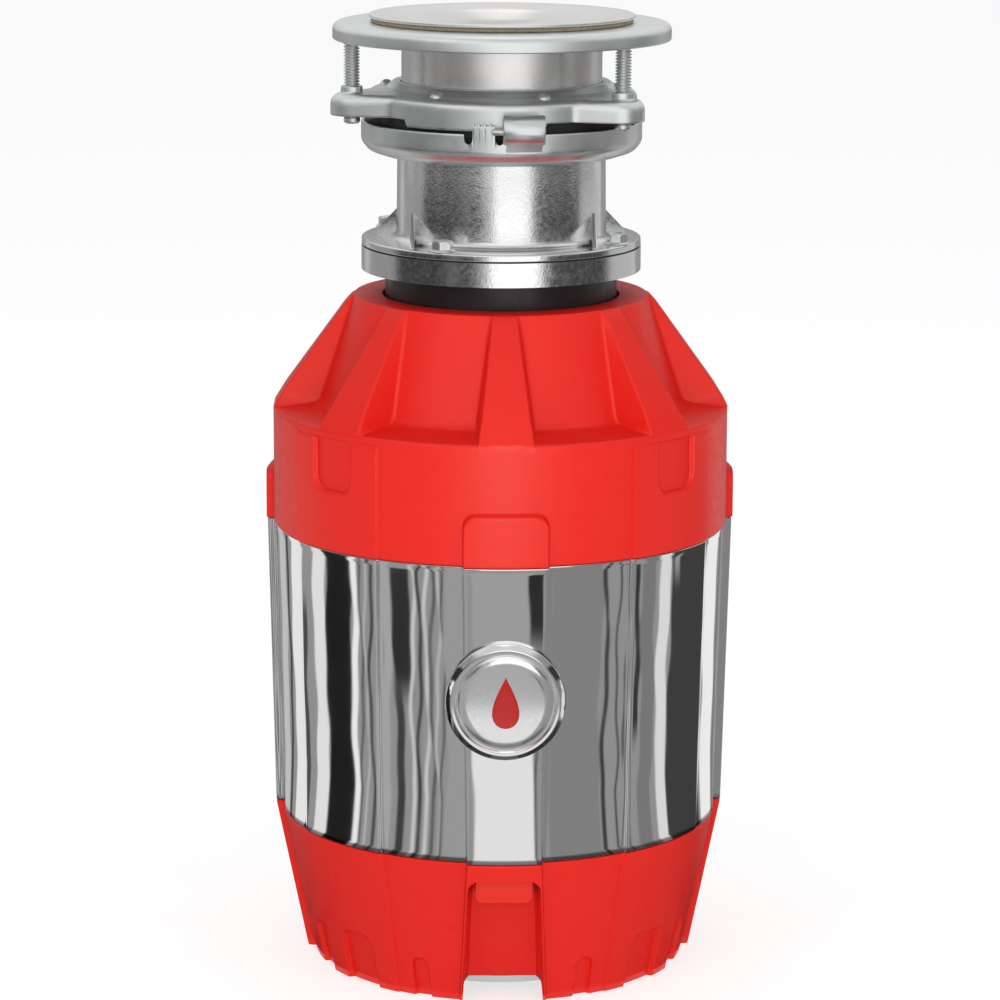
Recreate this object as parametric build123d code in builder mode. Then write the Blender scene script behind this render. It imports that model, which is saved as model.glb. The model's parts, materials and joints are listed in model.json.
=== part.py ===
from build123d import *
import math
import os

# A kitchen food waste disposer with its sink mounting, in millimetres.
# It stands on its base at z = 0, +Z up, and its front (the badge side) faces -Y.
# Azimuths are in degrees from the front, positive towards +X.

os.makedirs("parts", exist_ok=True)

# Heights
FLANGE_TOP = 416.5
BACKUP_TOP = 413.0
BACKUP_BOTTOM = 405.8
EAR_TOP = 384.4
EAR_BOTTOM = 375.0
SLEEVE_BOTTOM = 372.0
CLAMP_TOP = 371.0
HOPPER_TOP = 363.0
FOOT_TOP = 320.5
SEAM = 317.0
CHAMBER_RING_BOTTOM = 306.7
DOME_TOP = 295.5
LEDGE = 246.8
BAND_TOP = 195.6
BAND_BOTTOM = 66.0
PORT_HEIGHT = 272.0
PLATE_LOW = 8.0
PAN_TOP = 2.0

# Radii of the sink side
FLANGE_RADIUS = 57.15
SLEEVE_RADIUS = 43.2
SLEEVE_BORE = 41.8
BACKUP_RADIUS = 72.8
SCREW_CIRCLE = 67.4
SCREW_AZIMUTHS = (-72.5, 47.5, 167.5)
SCREW_RADIUS = 3.55
RING_RADIUS = 58.2
CLAMP_RADIUS = 60.6

# Radii of the castings
HOPPER_RADIUS = 45.0
HOPPER_BORE = 41.0
FOOT_RADIUS = 60.5
BOLT_CIRCLE = 55.4
BOLT_AZIMUTHS = (-28, 62, 152, 242)
NECK_RADIUS = 47.0
NECK_BORE = 44.0
PORT_RADIUS = 18.0
PORT_BORE = 13.0
PORT_FACE = 104.0
ELBOW_DROP = 146.0
ELBOW_END = 190.0
DRAIN_SCREW_RADIUS = 24.4

# Shell
WALL_RADIUS = 99.2
BAND_STEP = 3.4
PANEL_STEP = 0.9
PANEL_MIDDLE = 47.0
PANEL_HALF = 14.4
PANEL_AZIMUTHS = (PANEL_MIDDLE, -PANEL_MIDDLE, 180 - PANEL_MIDDLE, 180 + PANEL_MIDDLE)
BAND_AZIMUTHS = (0, 99.5, 180, -99.5)
BAND_HALF_LOW = 15.5
BAND_HALF_HIGH = 17.4
SKIRT_BAND_HALF_FOOT = 18.4
SKIRT_BAND_HALF_TOP = 15.7
TAB_WIDTH = 35.4
TAB_TOP = 217.7
TAB_HEIGHT = 40.6
TAB_CORNER = 6.0
POCKET_WIDTH = 23.0
POCKET_LOW = 221.2
POCKET_HEIGHT = 40.0
POCKET_CORNER = 6.5
POCKET_DEPTH = 1.1
SHELL_WALL = 3.0
BAND_RADIUS_HIGH = 98.75
BAND_RADIUS_LOW = 95.9
BASE_RADIUS = 81.9
BASE_DRAFT = (BAND_RADIUS_LOW - BASE_RADIUS) / BAND_BOTTOM
LINER_RADIUS = 93.9
LINER_SEAM = 120.0
RIB_COUNT = 8
POST_CIRCLE = 74.6
PAN_RADIUS = 57.0
FOOT_RECESSES = (  # azimuth, half angle, top height, depth
    (24.6, 2.6, 18.0, 2.2), (46.6, 6.6, 24.3, 2.6), (66.2, 4.5, 20.7, 2.2),
    (133.4, 6.6, 24.3, 2.6), (155.4, 2.6, 18.0, 2.2),
)
RECESS_TOP = 58.0
RECESS_HALF_TOP = 14.8
RECESS_HALF_FOOT = 17.2
RECESS_BACK_TOP = 83.5
RECESS_BACK_FOOT = 70.5
CORD_SLOT_WIDTH = 24.0
CORD_SLOT_HEIGHT = 11.0
CORD_SLOT_MIDDLE = 53.0
CORD_SLOT_CORNER = 3.2
RESET_PLACE = (0, 28)
CABLE_CIRCLE = 68.2
CABLE_AZIMUTH = 150
CABLE_BORE = 7.0
POST_AZIMUTHS = (45, 135, 225, 315)
REACH = 140.0

# Motor
SHAFT_RADIUS = 5.0
CAN_RADIUS = 62.0
BELL_RADIUS = 70.0
CAN_LOW = 112.0
CAN_HIGH = 236.0
TURNTABLE_RADIUS = 42.0
TURNTABLE_LOW = 303.0
PIN_CIRCLE = 30.0

FIT = 0.05
GAP = 0.4
BASE = (Align.CENTER, Align.CENTER, Align.MIN)


def save(name, piece):
    """Label a finished piece and write it."""
    piece.part.label = name
    export_step(piece.part, f"parts/{name}.step")


def around(radius, azimuth):
    """The plan position at a radius and an azimuth from the front."""
    turn = math.radians(azimuth)
    return (radius * math.sin(turn), -radius * math.cos(turn))


def turned(*outline):
    """A solid turned about the vertical axis from its (radius, height) corners."""
    with BuildPart() as piece:
        with BuildSketch(Plane.XZ):
            with BuildLine():
                Polyline(*outline, close=True)
            make_face()
        revolve(axis=Axis.Z)
    return piece


def washer(inner, outer, low, high):
    """A plain ring about the vertical axis."""
    with BuildPart() as piece:
        with BuildSketch(Plane.XY.offset(low)):
            Circle(outer)
            Circle(inner, mode=Mode.SUBTRACT)
        extrude(amount=high - low)
    return piece


def slice_corners(middle, half):
    """The plan corners of a slice of the round, from the axis outwards."""
    return [(0, 0), around(REACH, middle - half), around(REACH, middle + half)]


# ---------------------------------------------------------------- sink side

def make_sink_flange():
    """Dished stainless flange drawn down into a straight throat sleeve."""
    return turned(
        (FLANGE_RADIUS - 0.5, 415.3), (FLANGE_RADIUS, 415.7), (FLANGE_RADIUS - 0.1, 416.2),
        (FLANGE_RADIUS - 0.9, FLANGE_TOP), (53.4, 416.2), (49.5, 415.3), (46.3, 413.6),
        (43.8, 410.9), (42.3, 407.4), (SLEEVE_BORE, 403.5), (SLEEVE_BORE, SLEEVE_BOTTOM),
        (SLEEVE_RADIUS, SLEEVE_BOTTOM), (SLEEVE_RADIUS, 380.4), (42.6, 380.8), (42.6, 383.2),
        (SLEEVE_RADIUS, 383.6), (SLEEVE_RADIUS, 404.0), (43.6, 407.0), (45.0, 410.2),
        (47.2, 412.6), (50.1, 414.2), (53.0, 415.0), (54.5, 415.3),
    )


def make_fibre_gasket():
    """Fibre washer under the rim of the flange."""
    return washer(53.4, 56.4, BACKUP_TOP + 0.1, 414.9)


def make_backup_flange():
    """Plated backing plate with a turned-down skirt, pushed up by the screws."""
    with BuildPart() as piece:
        with BuildSketch(Plane.XZ):
            with BuildLine():
                Polyline(
                    (44.4, 408.4), (49.0, BACKUP_TOP), (BACKUP_RADIUS, BACKUP_TOP),
                    (BACKUP_RADIUS, BACKUP_BOTTOM), (71.3, BACKUP_BOTTOM), (71.3, 410.8),
                    (50.0, 410.8), (46.0, 406.8), close=True,
                )
            make_face()
        revolve(axis=Axis.Z)
        rims = piece.edges().filter_by(GeomType.CIRCLE)
        fillet(rims.filter_by(lambda e: e.radius > 72 and e.center().Z > 410), radius=2.0)
        outer = piece.edges().filter_by(GeomType.CIRCLE)
        fillet(outer.filter_by(lambda e: e.radius > 72 and e.center().Z < 407), radius=0.8)
    return piece


def ear_plan(inset):
    """Plan outline of the mounting ring: a round with three broad ears for the screws."""
    with BuildSketch() as plan:
        Circle(RING_RADIUS - inset)
        for azimuth in SCREW_AZIMUTHS:
            with BuildSketch(mode=Mode.ADD):
                with BuildLine():
                    CenterArc(around(SCREW_CIRCLE - 0.5, azimuth), 9.6 - inset, 0, 360)
                    CenterArc(around(44.0, azimuth), 21.0 - inset, 0, 360)
                make_hull()
    return plan


def make_mounting_ring():
    """Pressed ring: low collar round the sleeve, sloping shoulder, three ears and three ramps."""
    sheet = 2.0
    outer_plan = ear_plan(0)
    inner_plan = ear_plan(sheet)
    shoulder = turned((43.6, 376), (43.6, 387.0), (44.4, 387.8), (46.2, 387.8), (48.6, 386.3),
                      (54.8, EAR_TOP), (54.8, 376))
    hollow = turned((43.0, 370), (43.0, 385.4), (47.0, 385.4), (54.8, 382.2), (54.8, 370))
    with BuildPart() as piece:
        add(outer_plan.sketch.moved(Location((0, 0, EAR_BOTTOM))))
        extrude(amount=EAR_TOP - EAR_BOTTOM)
        fillet(piece.faces().sort_by(Axis.Z)[-1].outer_wire().edges(), radius=2.6)
        add(shoulder.part)
        add(inner_plan.sketch.moved(Location((0, 0, EAR_BOTTOM))))
        extrude(amount=EAR_TOP - EAR_BOTTOM - sheet, mode=Mode.SUBTRACT)
        add(hollow.part, mode=Mode.SUBTRACT)
        with Locations((0, 0, EAR_BOTTOM)):
            Cylinder(43.6, 40, align=BASE, mode=Mode.SUBTRACT)
        for azimuth in SCREW_AZIMUTHS:
            with Locations((*around(SCREW_CIRCLE, azimuth), EAR_TOP - sheet)):
                Cylinder(4.9, sheet + 2.8, align=BASE)
                Cylinder(SCREW_RADIUS + 0.25, sheet + 4, align=BASE, mode=Mode.SUBTRACT)
        with BuildSketch(Plane.XY.offset(364.5)):
            Circle(RING_RADIUS)
            Circle(RING_RADIUS - 1.8, mode=Mode.SUBTRACT)
            for azimuth in SCREW_AZIMUTHS:
                Polygon(*slice_corners(azimuth, 27.0), align=None, mode=Mode.SUBTRACT)
        extrude(amount=EAR_TOP - 2 - 364.5)
        with BuildSketch(Plane.XY.offset(EAR_TOP)):
            for azimuth in (-34, 19, 86, 139, 206, 259):
                with Locations(around(51.6, azimuth)):
                    Circle(1.9)
        extrude(amount=1.9, taper=25)
    return piece


def make_snap_ring():
    """Wire ring in the groove of the sleeve, on which the mounting ring hangs."""
    with BuildPart() as piece:
        with BuildSketch(Plane.XZ):
            with Locations((44.1, 382.0)):
                Circle(1.2)
        revolve(axis=Axis.Z, revolution_arc=352)
    return piece


def make_mounting_screw(azimuth):
    """Slotted stud: the plain core under its thread, with a pointed tip under the backing plate."""
    with BuildPart() as piece:
        with BuildSketch(Plane.XY.offset(371.4)):
            with Locations(around(SCREW_CIRCLE, azimuth)):
                Circle(SCREW_RADIUS)
        extrude(amount=410.6 - 371.4)
        chamfer(piece.edges().filter_by(GeomType.CIRCLE), length=0.7)
        with Locations((*around(SCREW_CIRCLE, azimuth), 371.4)):
            Box(12, 1.2, 1.6, align=BASE, mode=Mode.SUBTRACT)
    return piece


def make_clamp_ring():
    """Turned-up ring that locks the unit on, with a stop tab and a rolled tab for a wrench."""
    sheet, tab_start, tab_length = 1.6, -1.1, 17.6
    bowl = turned(
        (47.6, 356.4), (50.5, 356.7), (56.1, 358.5), (58.9, 360.2), (60.2, 363.0),
        (CLAMP_RADIUS, 366.0), (CLAMP_RADIUS, CLAMP_TOP), (CLAMP_RADIUS - sheet, CLAMP_TOP),
        (CLAMP_RADIUS - sheet, 366.0), (58.6, 363.6), (57.8, 361.5), (55.6, 360.1),
        (50.2, 358.3), (47.6, 358.0),
    )
    with BuildPart() as piece:
        add(bowl.part)
        # stop tab, cut from the rim and standing above it
        with BuildSketch(Plane.XY.offset(CLAMP_TOP - 6)):
            Circle(CLAMP_RADIUS + 1.6)
            Circle(CLAMP_RADIUS, mode=Mode.SUBTRACT)
            Polygon(*slice_corners(-8.4, 4.8), align=None, mode=Mode.INTERSECT)
        extrude(amount=10.2)
        with BuildSketch(Plane.XZ):
            for middle in (-15.4, -2.3):
                with Locations((middle, CLAMP_TOP - 4.4)):
                    SlotCenterToCenter(8, 2.6, rotation=90)
        extrude(amount=CLAMP_RADIUS + 6, mode=Mode.SUBTRACT)
        # rolled tab lying along the rim
        with BuildSketch(Plane.YZ.offset(tab_start)):
            with Locations((-65.4, 373.6)):
                Circle(6.2)
        extrude(amount=tab_length)
        with BuildSketch(Plane.YZ.offset(tab_start)):
            with Locations((-65.4, 373.6)):
                Circle(4.6)
        extrude(amount=tab_length, mode=Mode.SUBTRACT)
        with BuildSketch(Plane.XY.offset(CLAMP_TOP - 5)):
            Circle(CLAMP_RADIUS + 2.6)
            Circle(CLAMP_RADIUS - sheet, mode=Mode.SUBTRACT)
            Polygon(*slice_corners(7.4, 8.6), align=None, mode=Mode.INTERSECT)
        extrude(amount=3.4)
    return piece


def make_rubber_mount():
    """Rubber cushion between the sleeve and the throat, seen through the ring."""
    return turned((43.6, 366.6), (43.6, 378.5), (46.0, 379.6), (53.5, 379.6), (55.8, 377.5),
                  (55.8, 366.6))


def make_splash_guard():
    """Rubber baffle: a clamped rim and a dished skirt slit into petals round a centre hole."""
    skirt = turned((52.0, 363.2), (52.0, 366.2), (39.8, 366.2), (26.0, 360.4), (13.2, 357.6),
                   (13.2, 355.8), (26.2, 358.6), (39.8, 363.2))
    with BuildPart() as piece:
        add(skirt.part)
        with BuildSketch(Plane.XY.offset(350)):
            for turn in range(0, 180, 30):
                with Locations(Location((0, 0, 0), (0, 0, turn))):
                    Rectangle(70, 0.9)
        extrude(amount=20, mode=Mode.SUBTRACT)
    return piece


# ---------------------------------------------------------------- castings

def make_hopper():
    """Cast throat: lip, straight barrel, round foot with gussets, and the hose spigot behind."""
    barrel = turned(
        (HOPPER_BORE, SEAM + 0.6), (FOOT_RADIUS, SEAM + 0.6), (FOOT_RADIUS, FOOT_TOP - 0.4),
        (FOOT_RADIUS - 0.4, FOOT_TOP), (48.0, FOOT_TOP), (46.2, 321.4), (HOPPER_RADIUS, 323.4),
        (HOPPER_RADIUS, 357.6), (46.0, 359.2), (52.0, 359.6), (52.0, HOPPER_TOP),
        (HOPPER_BORE, HOPPER_TOP),
    )
    with BuildPart() as piece:
        add(barrel.part)
        for offset in (-38.7, 38.7):
            with BuildSketch(Plane.YZ.offset(offset - 0.9)):
                Polygon((-20, FOOT_TOP), (20, FOOT_TOP), (20, 334.5), (-24, 334.5), (-33.5, 327.5),
                        (-42.5, FOOT_TOP), align=None)
            extrude(amount=1.8)
        for azimuth in (-103, 103):
            with BuildSketch(Plane((0, 0, 0), x_dir=(*around(1, azimuth), 0),
                                   z_dir=(*around(1, azimuth - 90), 0))):
                Polygon((43, FOOT_TOP), (57, FOOT_TOP), (45.4, 332), (43, 332), align=None)
            extrude(amount=0.95, both=True)
        with Locations(Plane.XZ.offset(-HOPPER_BORE - 1)):
            with Locations((0, 340.0)):
                Cylinder(11.1, 31, align=(Align.CENTER, Align.CENTER, Align.MAX))
                Cylinder(12.4, 6.4, align=(Align.CENTER, Align.CENTER, Align.MAX))
        for azimuth in BOLT_AZIMUTHS:
            with Locations((*around(BOLT_CIRCLE, azimuth), SEAM)):
                Cylinder(2.6, 8, align=BASE, mode=Mode.SUBTRACT)
        with Locations((0, 0, SEAM)):
            Cylinder(HOPPER_BORE, 60, align=BASE, mode=Mode.SUBTRACT)
        with Locations(Plane.XZ.offset(-30)):
            with Locations((0, 340.0)):
                Cylinder(8.6, 60, align=(Align.CENTER, Align.CENTER, Align.MAX),
                         mode=Mode.SUBTRACT)
    return piece


def make_hopper_bolts():
    """Four hex washer-head bolts down through the foot into the drain chamber."""
    with BuildPart() as piece:
        for azimuth in BOLT_AZIMUTHS:
            with Locations((*around(BOLT_CIRCLE, azimuth), 309.5)):
                Cylinder(2.2, FOOT_TOP - 309.4, align=BASE)
            with Locations((*around(BOLT_CIRCLE, azimuth), FOOT_TOP + 0.05)):
                Cylinder(5.0, 0.9, align=BASE)
            with BuildSketch(Plane.XY.offset(FOOT_TOP + 0.9)):
                with Locations(around(BOLT_CIRCLE, azimuth)):
                    RegularPolygon(4.1, 6, major_radius=False)
            extrude(amount=3.6)
    return piece


def make_chamber_gasket():
    """Thin seal between the foot and the drain chamber."""
    with BuildPart() as piece:
        with BuildSketch(Plane.XY.offset(SEAM + 0.05)):
            Circle(59.6)
            Circle(51.5, mode=Mode.SUBTRACT)
            for azimuth in BOLT_AZIMUTHS:
                with Locations(around(BOLT_CIRCLE, azimuth)):
                    Circle(2.6, mode=Mode.SUBTRACT)
        extrude(amount=0.5)
    return piece


def make_grind_ring():
    """Stationary ring with square teeth that food is thrown against."""
    with BuildPart() as piece:
        with BuildSketch(Plane.XY.offset(308.0)):
            Circle(51.0)
            Circle(43.2, mode=Mode.SUBTRACT)
        extrude(amount=8.8)
        with BuildSketch(Plane.XY.offset(308.0)):
            with PolarLocations(43.2, 24):
                Rectangle(4.0, 3.4)
        extrude(amount=8.8, mode=Mode.SUBTRACT)
    return piece


def make_drain_chamber():
    """Casting under the hopper: ring, neck, chamber floor, motor flange and the rear outlet."""
    bowl = turned(
        (FOOT_RADIUS + 0.1, CHAMBER_RING_BOTTOM), (FOOT_RADIUS + 0.1, SEAM),
        (51.2, SEAM), (51.2, 307.9), (NECK_BORE, 307.9), (NECK_BORE, 256.5), (11.5, 256.5),
        (11.5, 259.5), (10.3, 259.5), (10.3, 247.8), (BELL_RADIUS, 247.8), (BELL_RADIUS, 252.0),
        (NECK_RADIUS, 252.0), (NECK_RADIUS, CHAMBER_RING_BOTTOM),
    )
    with BuildPart() as piece:
        add(bowl.part)
        with Locations(Plane.XZ.offset(-NECK_BORE - 0.5)):
            with Locations((0, PORT_HEIGHT)):
                Cylinder(PORT_RADIUS, PORT_FACE - NECK_BORE - 0.5,
                         align=(Align.CENTER, Align.CENTER, Align.MAX))
        with BuildSketch(Plane.XZ.offset(-PORT_FACE)):
            with Locations((0, PORT_HEIGHT)):
                Circle(22.4)
                SlotCenterToCenter(2 * DRAIN_SCREW_RADIUS, 13)
        extrude(amount=6)
        with Locations(Plane.XZ.offset(-NECK_BORE + 10)):
            with Locations((0, PORT_HEIGHT)):
                Cylinder(PORT_BORE, 90, align=(Align.CENTER, Align.CENTER, Align.MAX),
                         mode=Mode.SUBTRACT)
                with PolarLocations(DRAIN_SCREW_RADIUS, 2):
                    Cylinder(1.7, 90, align=(Align.CENTER, Align.CENTER, Align.MAX),
                             mode=Mode.SUBTRACT)
        for azimuth in BOLT_AZIMUTHS:
            with Locations((*around(BOLT_CIRCLE, azimuth), 309.0)):
                Cylinder(2.3, 12, align=BASE, mode=Mode.SUBTRACT)
        for side in (-1, 1):
            with Locations((side * 66.0, 0, 240)):
                Cylinder(2.6, 20, align=BASE, mode=Mode.SUBTRACT)
    return piece


def make_neck_collar():
    """Black collar round the neck, whose lip carries the shell."""
    with BuildPart() as piece:
        add(turned((NECK_RADIUS + GAP, 290.6), (55.5, 290.6), (55.5, 292.2), (50.3, 292.2),
                   (50.3, 305.6), (49.6, 306.3), (NECK_RADIUS + GAP, 306.3)).part)
        with Locations((0, -50.3, 296.6)):
            Box(9, 1.2, 3.0, mode=Mode.SUBTRACT)
    return piece


def make_drain_gasket():
    """Rubber ring between the outlet and the elbow flange."""
    with BuildPart() as piece:
        with BuildSketch(Plane.XZ.offset(-PORT_FACE - 0.1)):
            with Locations((0, PORT_HEIGHT)):
                Circle(19.4)
                Circle(13.4, mode=Mode.SUBTRACT)
        extrude(amount=-2.0)
    return piece


def make_drain_flange():
    """Steel plate that holds the elbow against the outlet with two screws."""
    with BuildPart() as piece:
        with BuildSketch(Plane.XZ.offset(-PORT_FACE - 5.4)):
            with Locations((0, PORT_HEIGHT)):
                SlotCenterToCenter(2 * DRAIN_SCREW_RADIUS, 13)
                Circle(24)
                Circle(19.6, mode=Mode.SUBTRACT)
                with PolarLocations(DRAIN_SCREW_RADIUS, 2):
                    Circle(2.2, mode=Mode.SUBTRACT)
        extrude(amount=-2.0)
    return piece


def make_drain_screws():
    """Two pan-head screws through the elbow flange."""
    with BuildPart() as piece:
        with Locations(Plane.XZ.offset(-PORT_FACE - 7.5)):
            with Locations((0, PORT_HEIGHT)):
                with PolarLocations(DRAIN_SCREW_RADIUS, 2):
                    Cylinder(3.6, 2.4, align=(Align.CENTER, Align.CENTER, Align.MAX))
                    Cylinder(1.6, 13, align=BASE)
    return piece


def make_discharge_elbow():
    """Drain elbow: flanged inlet, a right-angle bend and a straight tail for the trap nut."""
    start = PORT_FACE + 2.2
    with BuildPart() as piece:
        with BuildLine():
            FilletPolyline((0, start, PORT_HEIGHT), (0, ELBOW_DROP, PORT_HEIGHT),
                           (0, ELBOW_DROP, ELBOW_END), radius=24)
        with BuildSketch(Plane((0, start, PORT_HEIGHT), x_dir=(1, 0, 0), z_dir=(0, 1, 0))):
            Circle(19.05)
            Circle(16.0, mode=Mode.SUBTRACT)
        sweep()
        with BuildSketch(Plane((0, start, PORT_HEIGHT), x_dir=(1, 0, 0), z_dir=(0, 1, 0))):
            Circle(20.6)
            Circle(16.0, mode=Mode.SUBTRACT)
        extrude(amount=3.0)
    return piece


# ---------------------------------------------------------------- grinding parts

def make_turntable():
    """Steel disc with drain holes and a turned-down rim."""
    with BuildPart() as piece:
        add(turned((4.05, TURNTABLE_LOW), (4.05, TURNTABLE_LOW + 3.0),
                   (TURNTABLE_RADIUS, TURNTABLE_LOW + 3.0),
                   (TURNTABLE_RADIUS, TURNTABLE_LOW - 4.0),
                   (TURNTABLE_RADIUS - 2.5, TURNTABLE_LOW - 4.0),
                   (TURNTABLE_RADIUS - 2.5, TURNTABLE_LOW)).part)
        with Locations((0, 0, TURNTABLE_LOW)):
            with PolarLocations(21.0, 6, start_angle=15):
                Cylinder(2.4, 8, mode=Mode.SUBTRACT)
            with PolarLocations(34.5, 8, start_angle=22.5):
                Cylinder(2.0, 8, mode=Mode.SUBTRACT)
            with PolarLocations(PIN_CIRCLE, 2):
                Cylinder(3.0, 8, mode=Mode.SUBTRACT)
    return piece


def make_turntable_nut():
    """Cap nut that holds the disc on the shaft."""
    with BuildPart() as piece:
        with BuildSketch(Plane.XY.offset(TURNTABLE_LOW + 3.05)):
            RegularPolygon(8.0, 6, major_radius=False)
            Circle(4.05, mode=Mode.SUBTRACT)
        extrude(amount=6.0)
    return piece


def make_impeller(side):
    """Swivel lug: a heavy stepped bar that hangs on its rivet by one end."""
    with BuildPart() as piece:
        with BuildSketch(Plane.XY.offset(TURNTABLE_LOW + 3.3)):
            with Locations((side * PIN_CIRCLE, 0)):
                Circle(7.0)
            with Locations((side * PIN_CIRCLE, -5.5)):
                Rectangle(14, 11)
        extrude(amount=3.2)
        with BuildSketch(Plane.XY.offset(TURNTABLE_LOW + 6.5)):
            with Locations((side * PIN_CIRCLE, -8.0)):
                Rectangle(14, 6)
        extrude(amount=6.0)
        with Locations((side * PIN_CIRCLE, 0, TURNTABLE_LOW)):
            Cylinder(3.0 + FIT, 20, align=BASE, mode=Mode.SUBTRACT)
    return piece


def make_impeller_pins():
    """Two headed rivets through the disc."""
    with BuildPart() as piece:
        with Locations((0, 0, TURNTABLE_LOW)):
            with PolarLocations(PIN_CIRCLE, 2):
                Cylinder(2.95, 6.8, align=BASE)
        with Locations((0, 0, TURNTABLE_LOW + 6.8)):
            with PolarLocations(PIN_CIRCLE, 2):
                Cylinder(4.4, 1.6, align=BASE)
        with Locations((0, 0, TURNTABLE_LOW - 1.6)):
            with PolarLocations(PIN_CIRCLE, 2):
                Cylinder(4.4, 1.55, align=BASE)
        with Locations((0, 0, TURNTABLE_LOW - 0.1)):
            with PolarLocations(PIN_CIRCLE, 2):
                Cylinder(2.95, 0.2, align=BASE)
    return piece


def make_motor_shaft():
    """Stepped shaft from the lower bearing up through the turntable."""
    return turned((0, 100.0), (4.6, 100.0), (SHAFT_RADIUS, 100.4), (SHAFT_RADIUS, 302.0),
                  (8.0, 302.0), (8.0, TURNTABLE_LOW - 0.05), (4.0, TURNTABLE_LOW - 0.05),
                  (4.0, 309.8), (3.4, 310.4), (0, 310.4))


# ---------------------------------------------------------------- motor

def bearing(low, high):
    """A sealed ball bearing as one ring."""
    return washer(SHAFT_RADIUS + FIT, 12.9, low, high)


def end_bell(low, high, pocket_low, pocket_high):
    """Cast end of the motor with a bearing pocket and two lugs for the through bolts."""
    with BuildPart() as piece:
        with Locations((0, 0, low)):
            Cylinder(CAN_RADIUS + 1, high - low, align=BASE)
            with Locations((-66, 0, 0), (66, 0, 0)):
                Cylinder(6.5, high - low, align=BASE)
            Cylinder(SHAFT_RADIUS + 1.5, 40, mode=Mode.SUBTRACT)
            with Locations((-66, 0, 0), (66, 0, 0)):
                Cylinder(2.6, 40, mode=Mode.SUBTRACT)
        with Locations((0, 0, pocket_low)):
            Cylinder(13.0, pocket_high - pocket_low, align=BASE, mode=Mode.SUBTRACT)
    return piece


def make_magnets():
    """Two field magnets against the wall of the can."""
    with BuildPart() as piece:
        with BuildSketch(Plane.XY.offset(130)):
            Circle(59.0)
            Circle(51.5, mode=Mode.SUBTRACT)
            for azimuth in (90, 270):
                Polygon(*slice_corners(azimuth, 22), align=None, mode=Mode.SUBTRACT)
        extrude(amount=86)
    return piece


def make_armature_core():
    """Slotted iron core on the shaft."""
    with BuildPart() as piece:
        with BuildSketch(Plane.XY.offset(142)):
            Circle(50.0)
            Circle(SHAFT_RADIUS + FIT, mode=Mode.SUBTRACT)
            with PolarLocations(42.0, 12):
                SlotCenterToCenter(10, 5, mode=Mode.SUBTRACT)
        extrude(amount=62)
    return piece


def make_windings():
    """The two bulging ends of the copper winding."""
    with BuildPart() as piece:
        for middle in (133.0, 213.0):
            with BuildSketch(Plane.XZ):
                with Locations((30, middle)):
                    RectangleRounded(30, 15, 6)
            revolve(axis=Axis.Z)
    return piece


def make_commutator():
    """Barred copper drum under the winding."""
    with BuildPart() as piece:
        with BuildSketch(Plane.XY.offset(114)):
            Circle(16.0)
            Circle(SHAFT_RADIUS + FIT, mode=Mode.SUBTRACT)
            with PolarLocations(15.6, 16):
                Rectangle(1.6, 0.8, mode=Mode.SUBTRACT)
        extrude(amount=10)
    return piece


def boxes_beside_shaft(inner, outer, width, low, high):
    """A pair of blocks left and right of the shaft."""
    with BuildPart() as piece:
        for side in (-1, 1):
            with Locations((side * (inner + outer) / 2, 0, low)):
                Box(outer - inner, width, high - low, align=BASE)
    return piece


def make_brush_springs():
    """Coil springs behind the brushes, as closed sleeves."""
    with BuildPart() as piece:
        with Locations(Plane.YZ.offset(29.2)):
            with Locations((0, 118.5)):
                Cylinder(2.0, 8, align=BASE)
        mirror(about=Plane.YZ)
    return piece


def make_brush_holders():
    """Open-ended boxes that guide the brushes and back their springs."""
    with BuildPart() as piece:
        for side in (-1, 1):
            with Locations((side * 29.5, 0, 112.1)):
                Box(19, 12, 12.4, align=BASE)
            with Locations((side * 28.0, 0, 114.8)):
                Box(18.6, 6.6, 7.4, align=BASE, mode=Mode.SUBTRACT)
    return piece


def make_motor_bolts():
    """Two long bolts from the lower bell up into the casting."""
    with BuildPart() as piece:
        for side in (-1, 1):
            with Locations((side * 66, 0, 98.0)):
                Cylinder(2.4, 153.5, align=BASE)
                Cylinder(4.6, 3.9, align=BASE)
    return piece


# ---------------------------------------------------------------- shell

def facing(azimuth, radius=0):
    """An upright plane at a radius that faces out at an azimuth."""
    turn = math.radians(azimuth)
    return Plane(origin=(*around(radius, azimuth), 0), x_dir=(math.cos(turn), math.sin(turn), 0),
                 z_dir=(math.sin(turn), -math.cos(turn), 0))


def band_slabs(low, high, half_low, half_high):
    """Tapered slabs from the axis outwards, as wide as the four bands."""
    with BuildPart() as slabs:
        for azimuth in BAND_AZIMUTHS:
            with BuildSketch(facing(azimuth)):
                Polygon((-half_low, low), (half_low, low), (half_high, high), (-half_high, high),
                        align=None)
            extrude(amount=REACH)
    return slabs


def panel_slices(low, high):
    """Four slices of the round where the raised panels are."""
    with BuildPart() as slices:
        with BuildSketch(Plane.XY.offset(low)):
            for middle in PANEL_AZIMUTHS:
                Polygon(*slice_corners(middle, PANEL_HALF), align=None)
        extrude(amount=high - low)
    return slices


def part_of_round(low, high, r_low, r_high, keep):
    """The part of a drafted round that lies inside another solid."""
    with BuildPart() as piece:
        add(turned((0, low), (r_low, low), (r_high, high), (0, high)).part)
        add(keep.part, mode=Mode.INTERSECT)
    return piece


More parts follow.
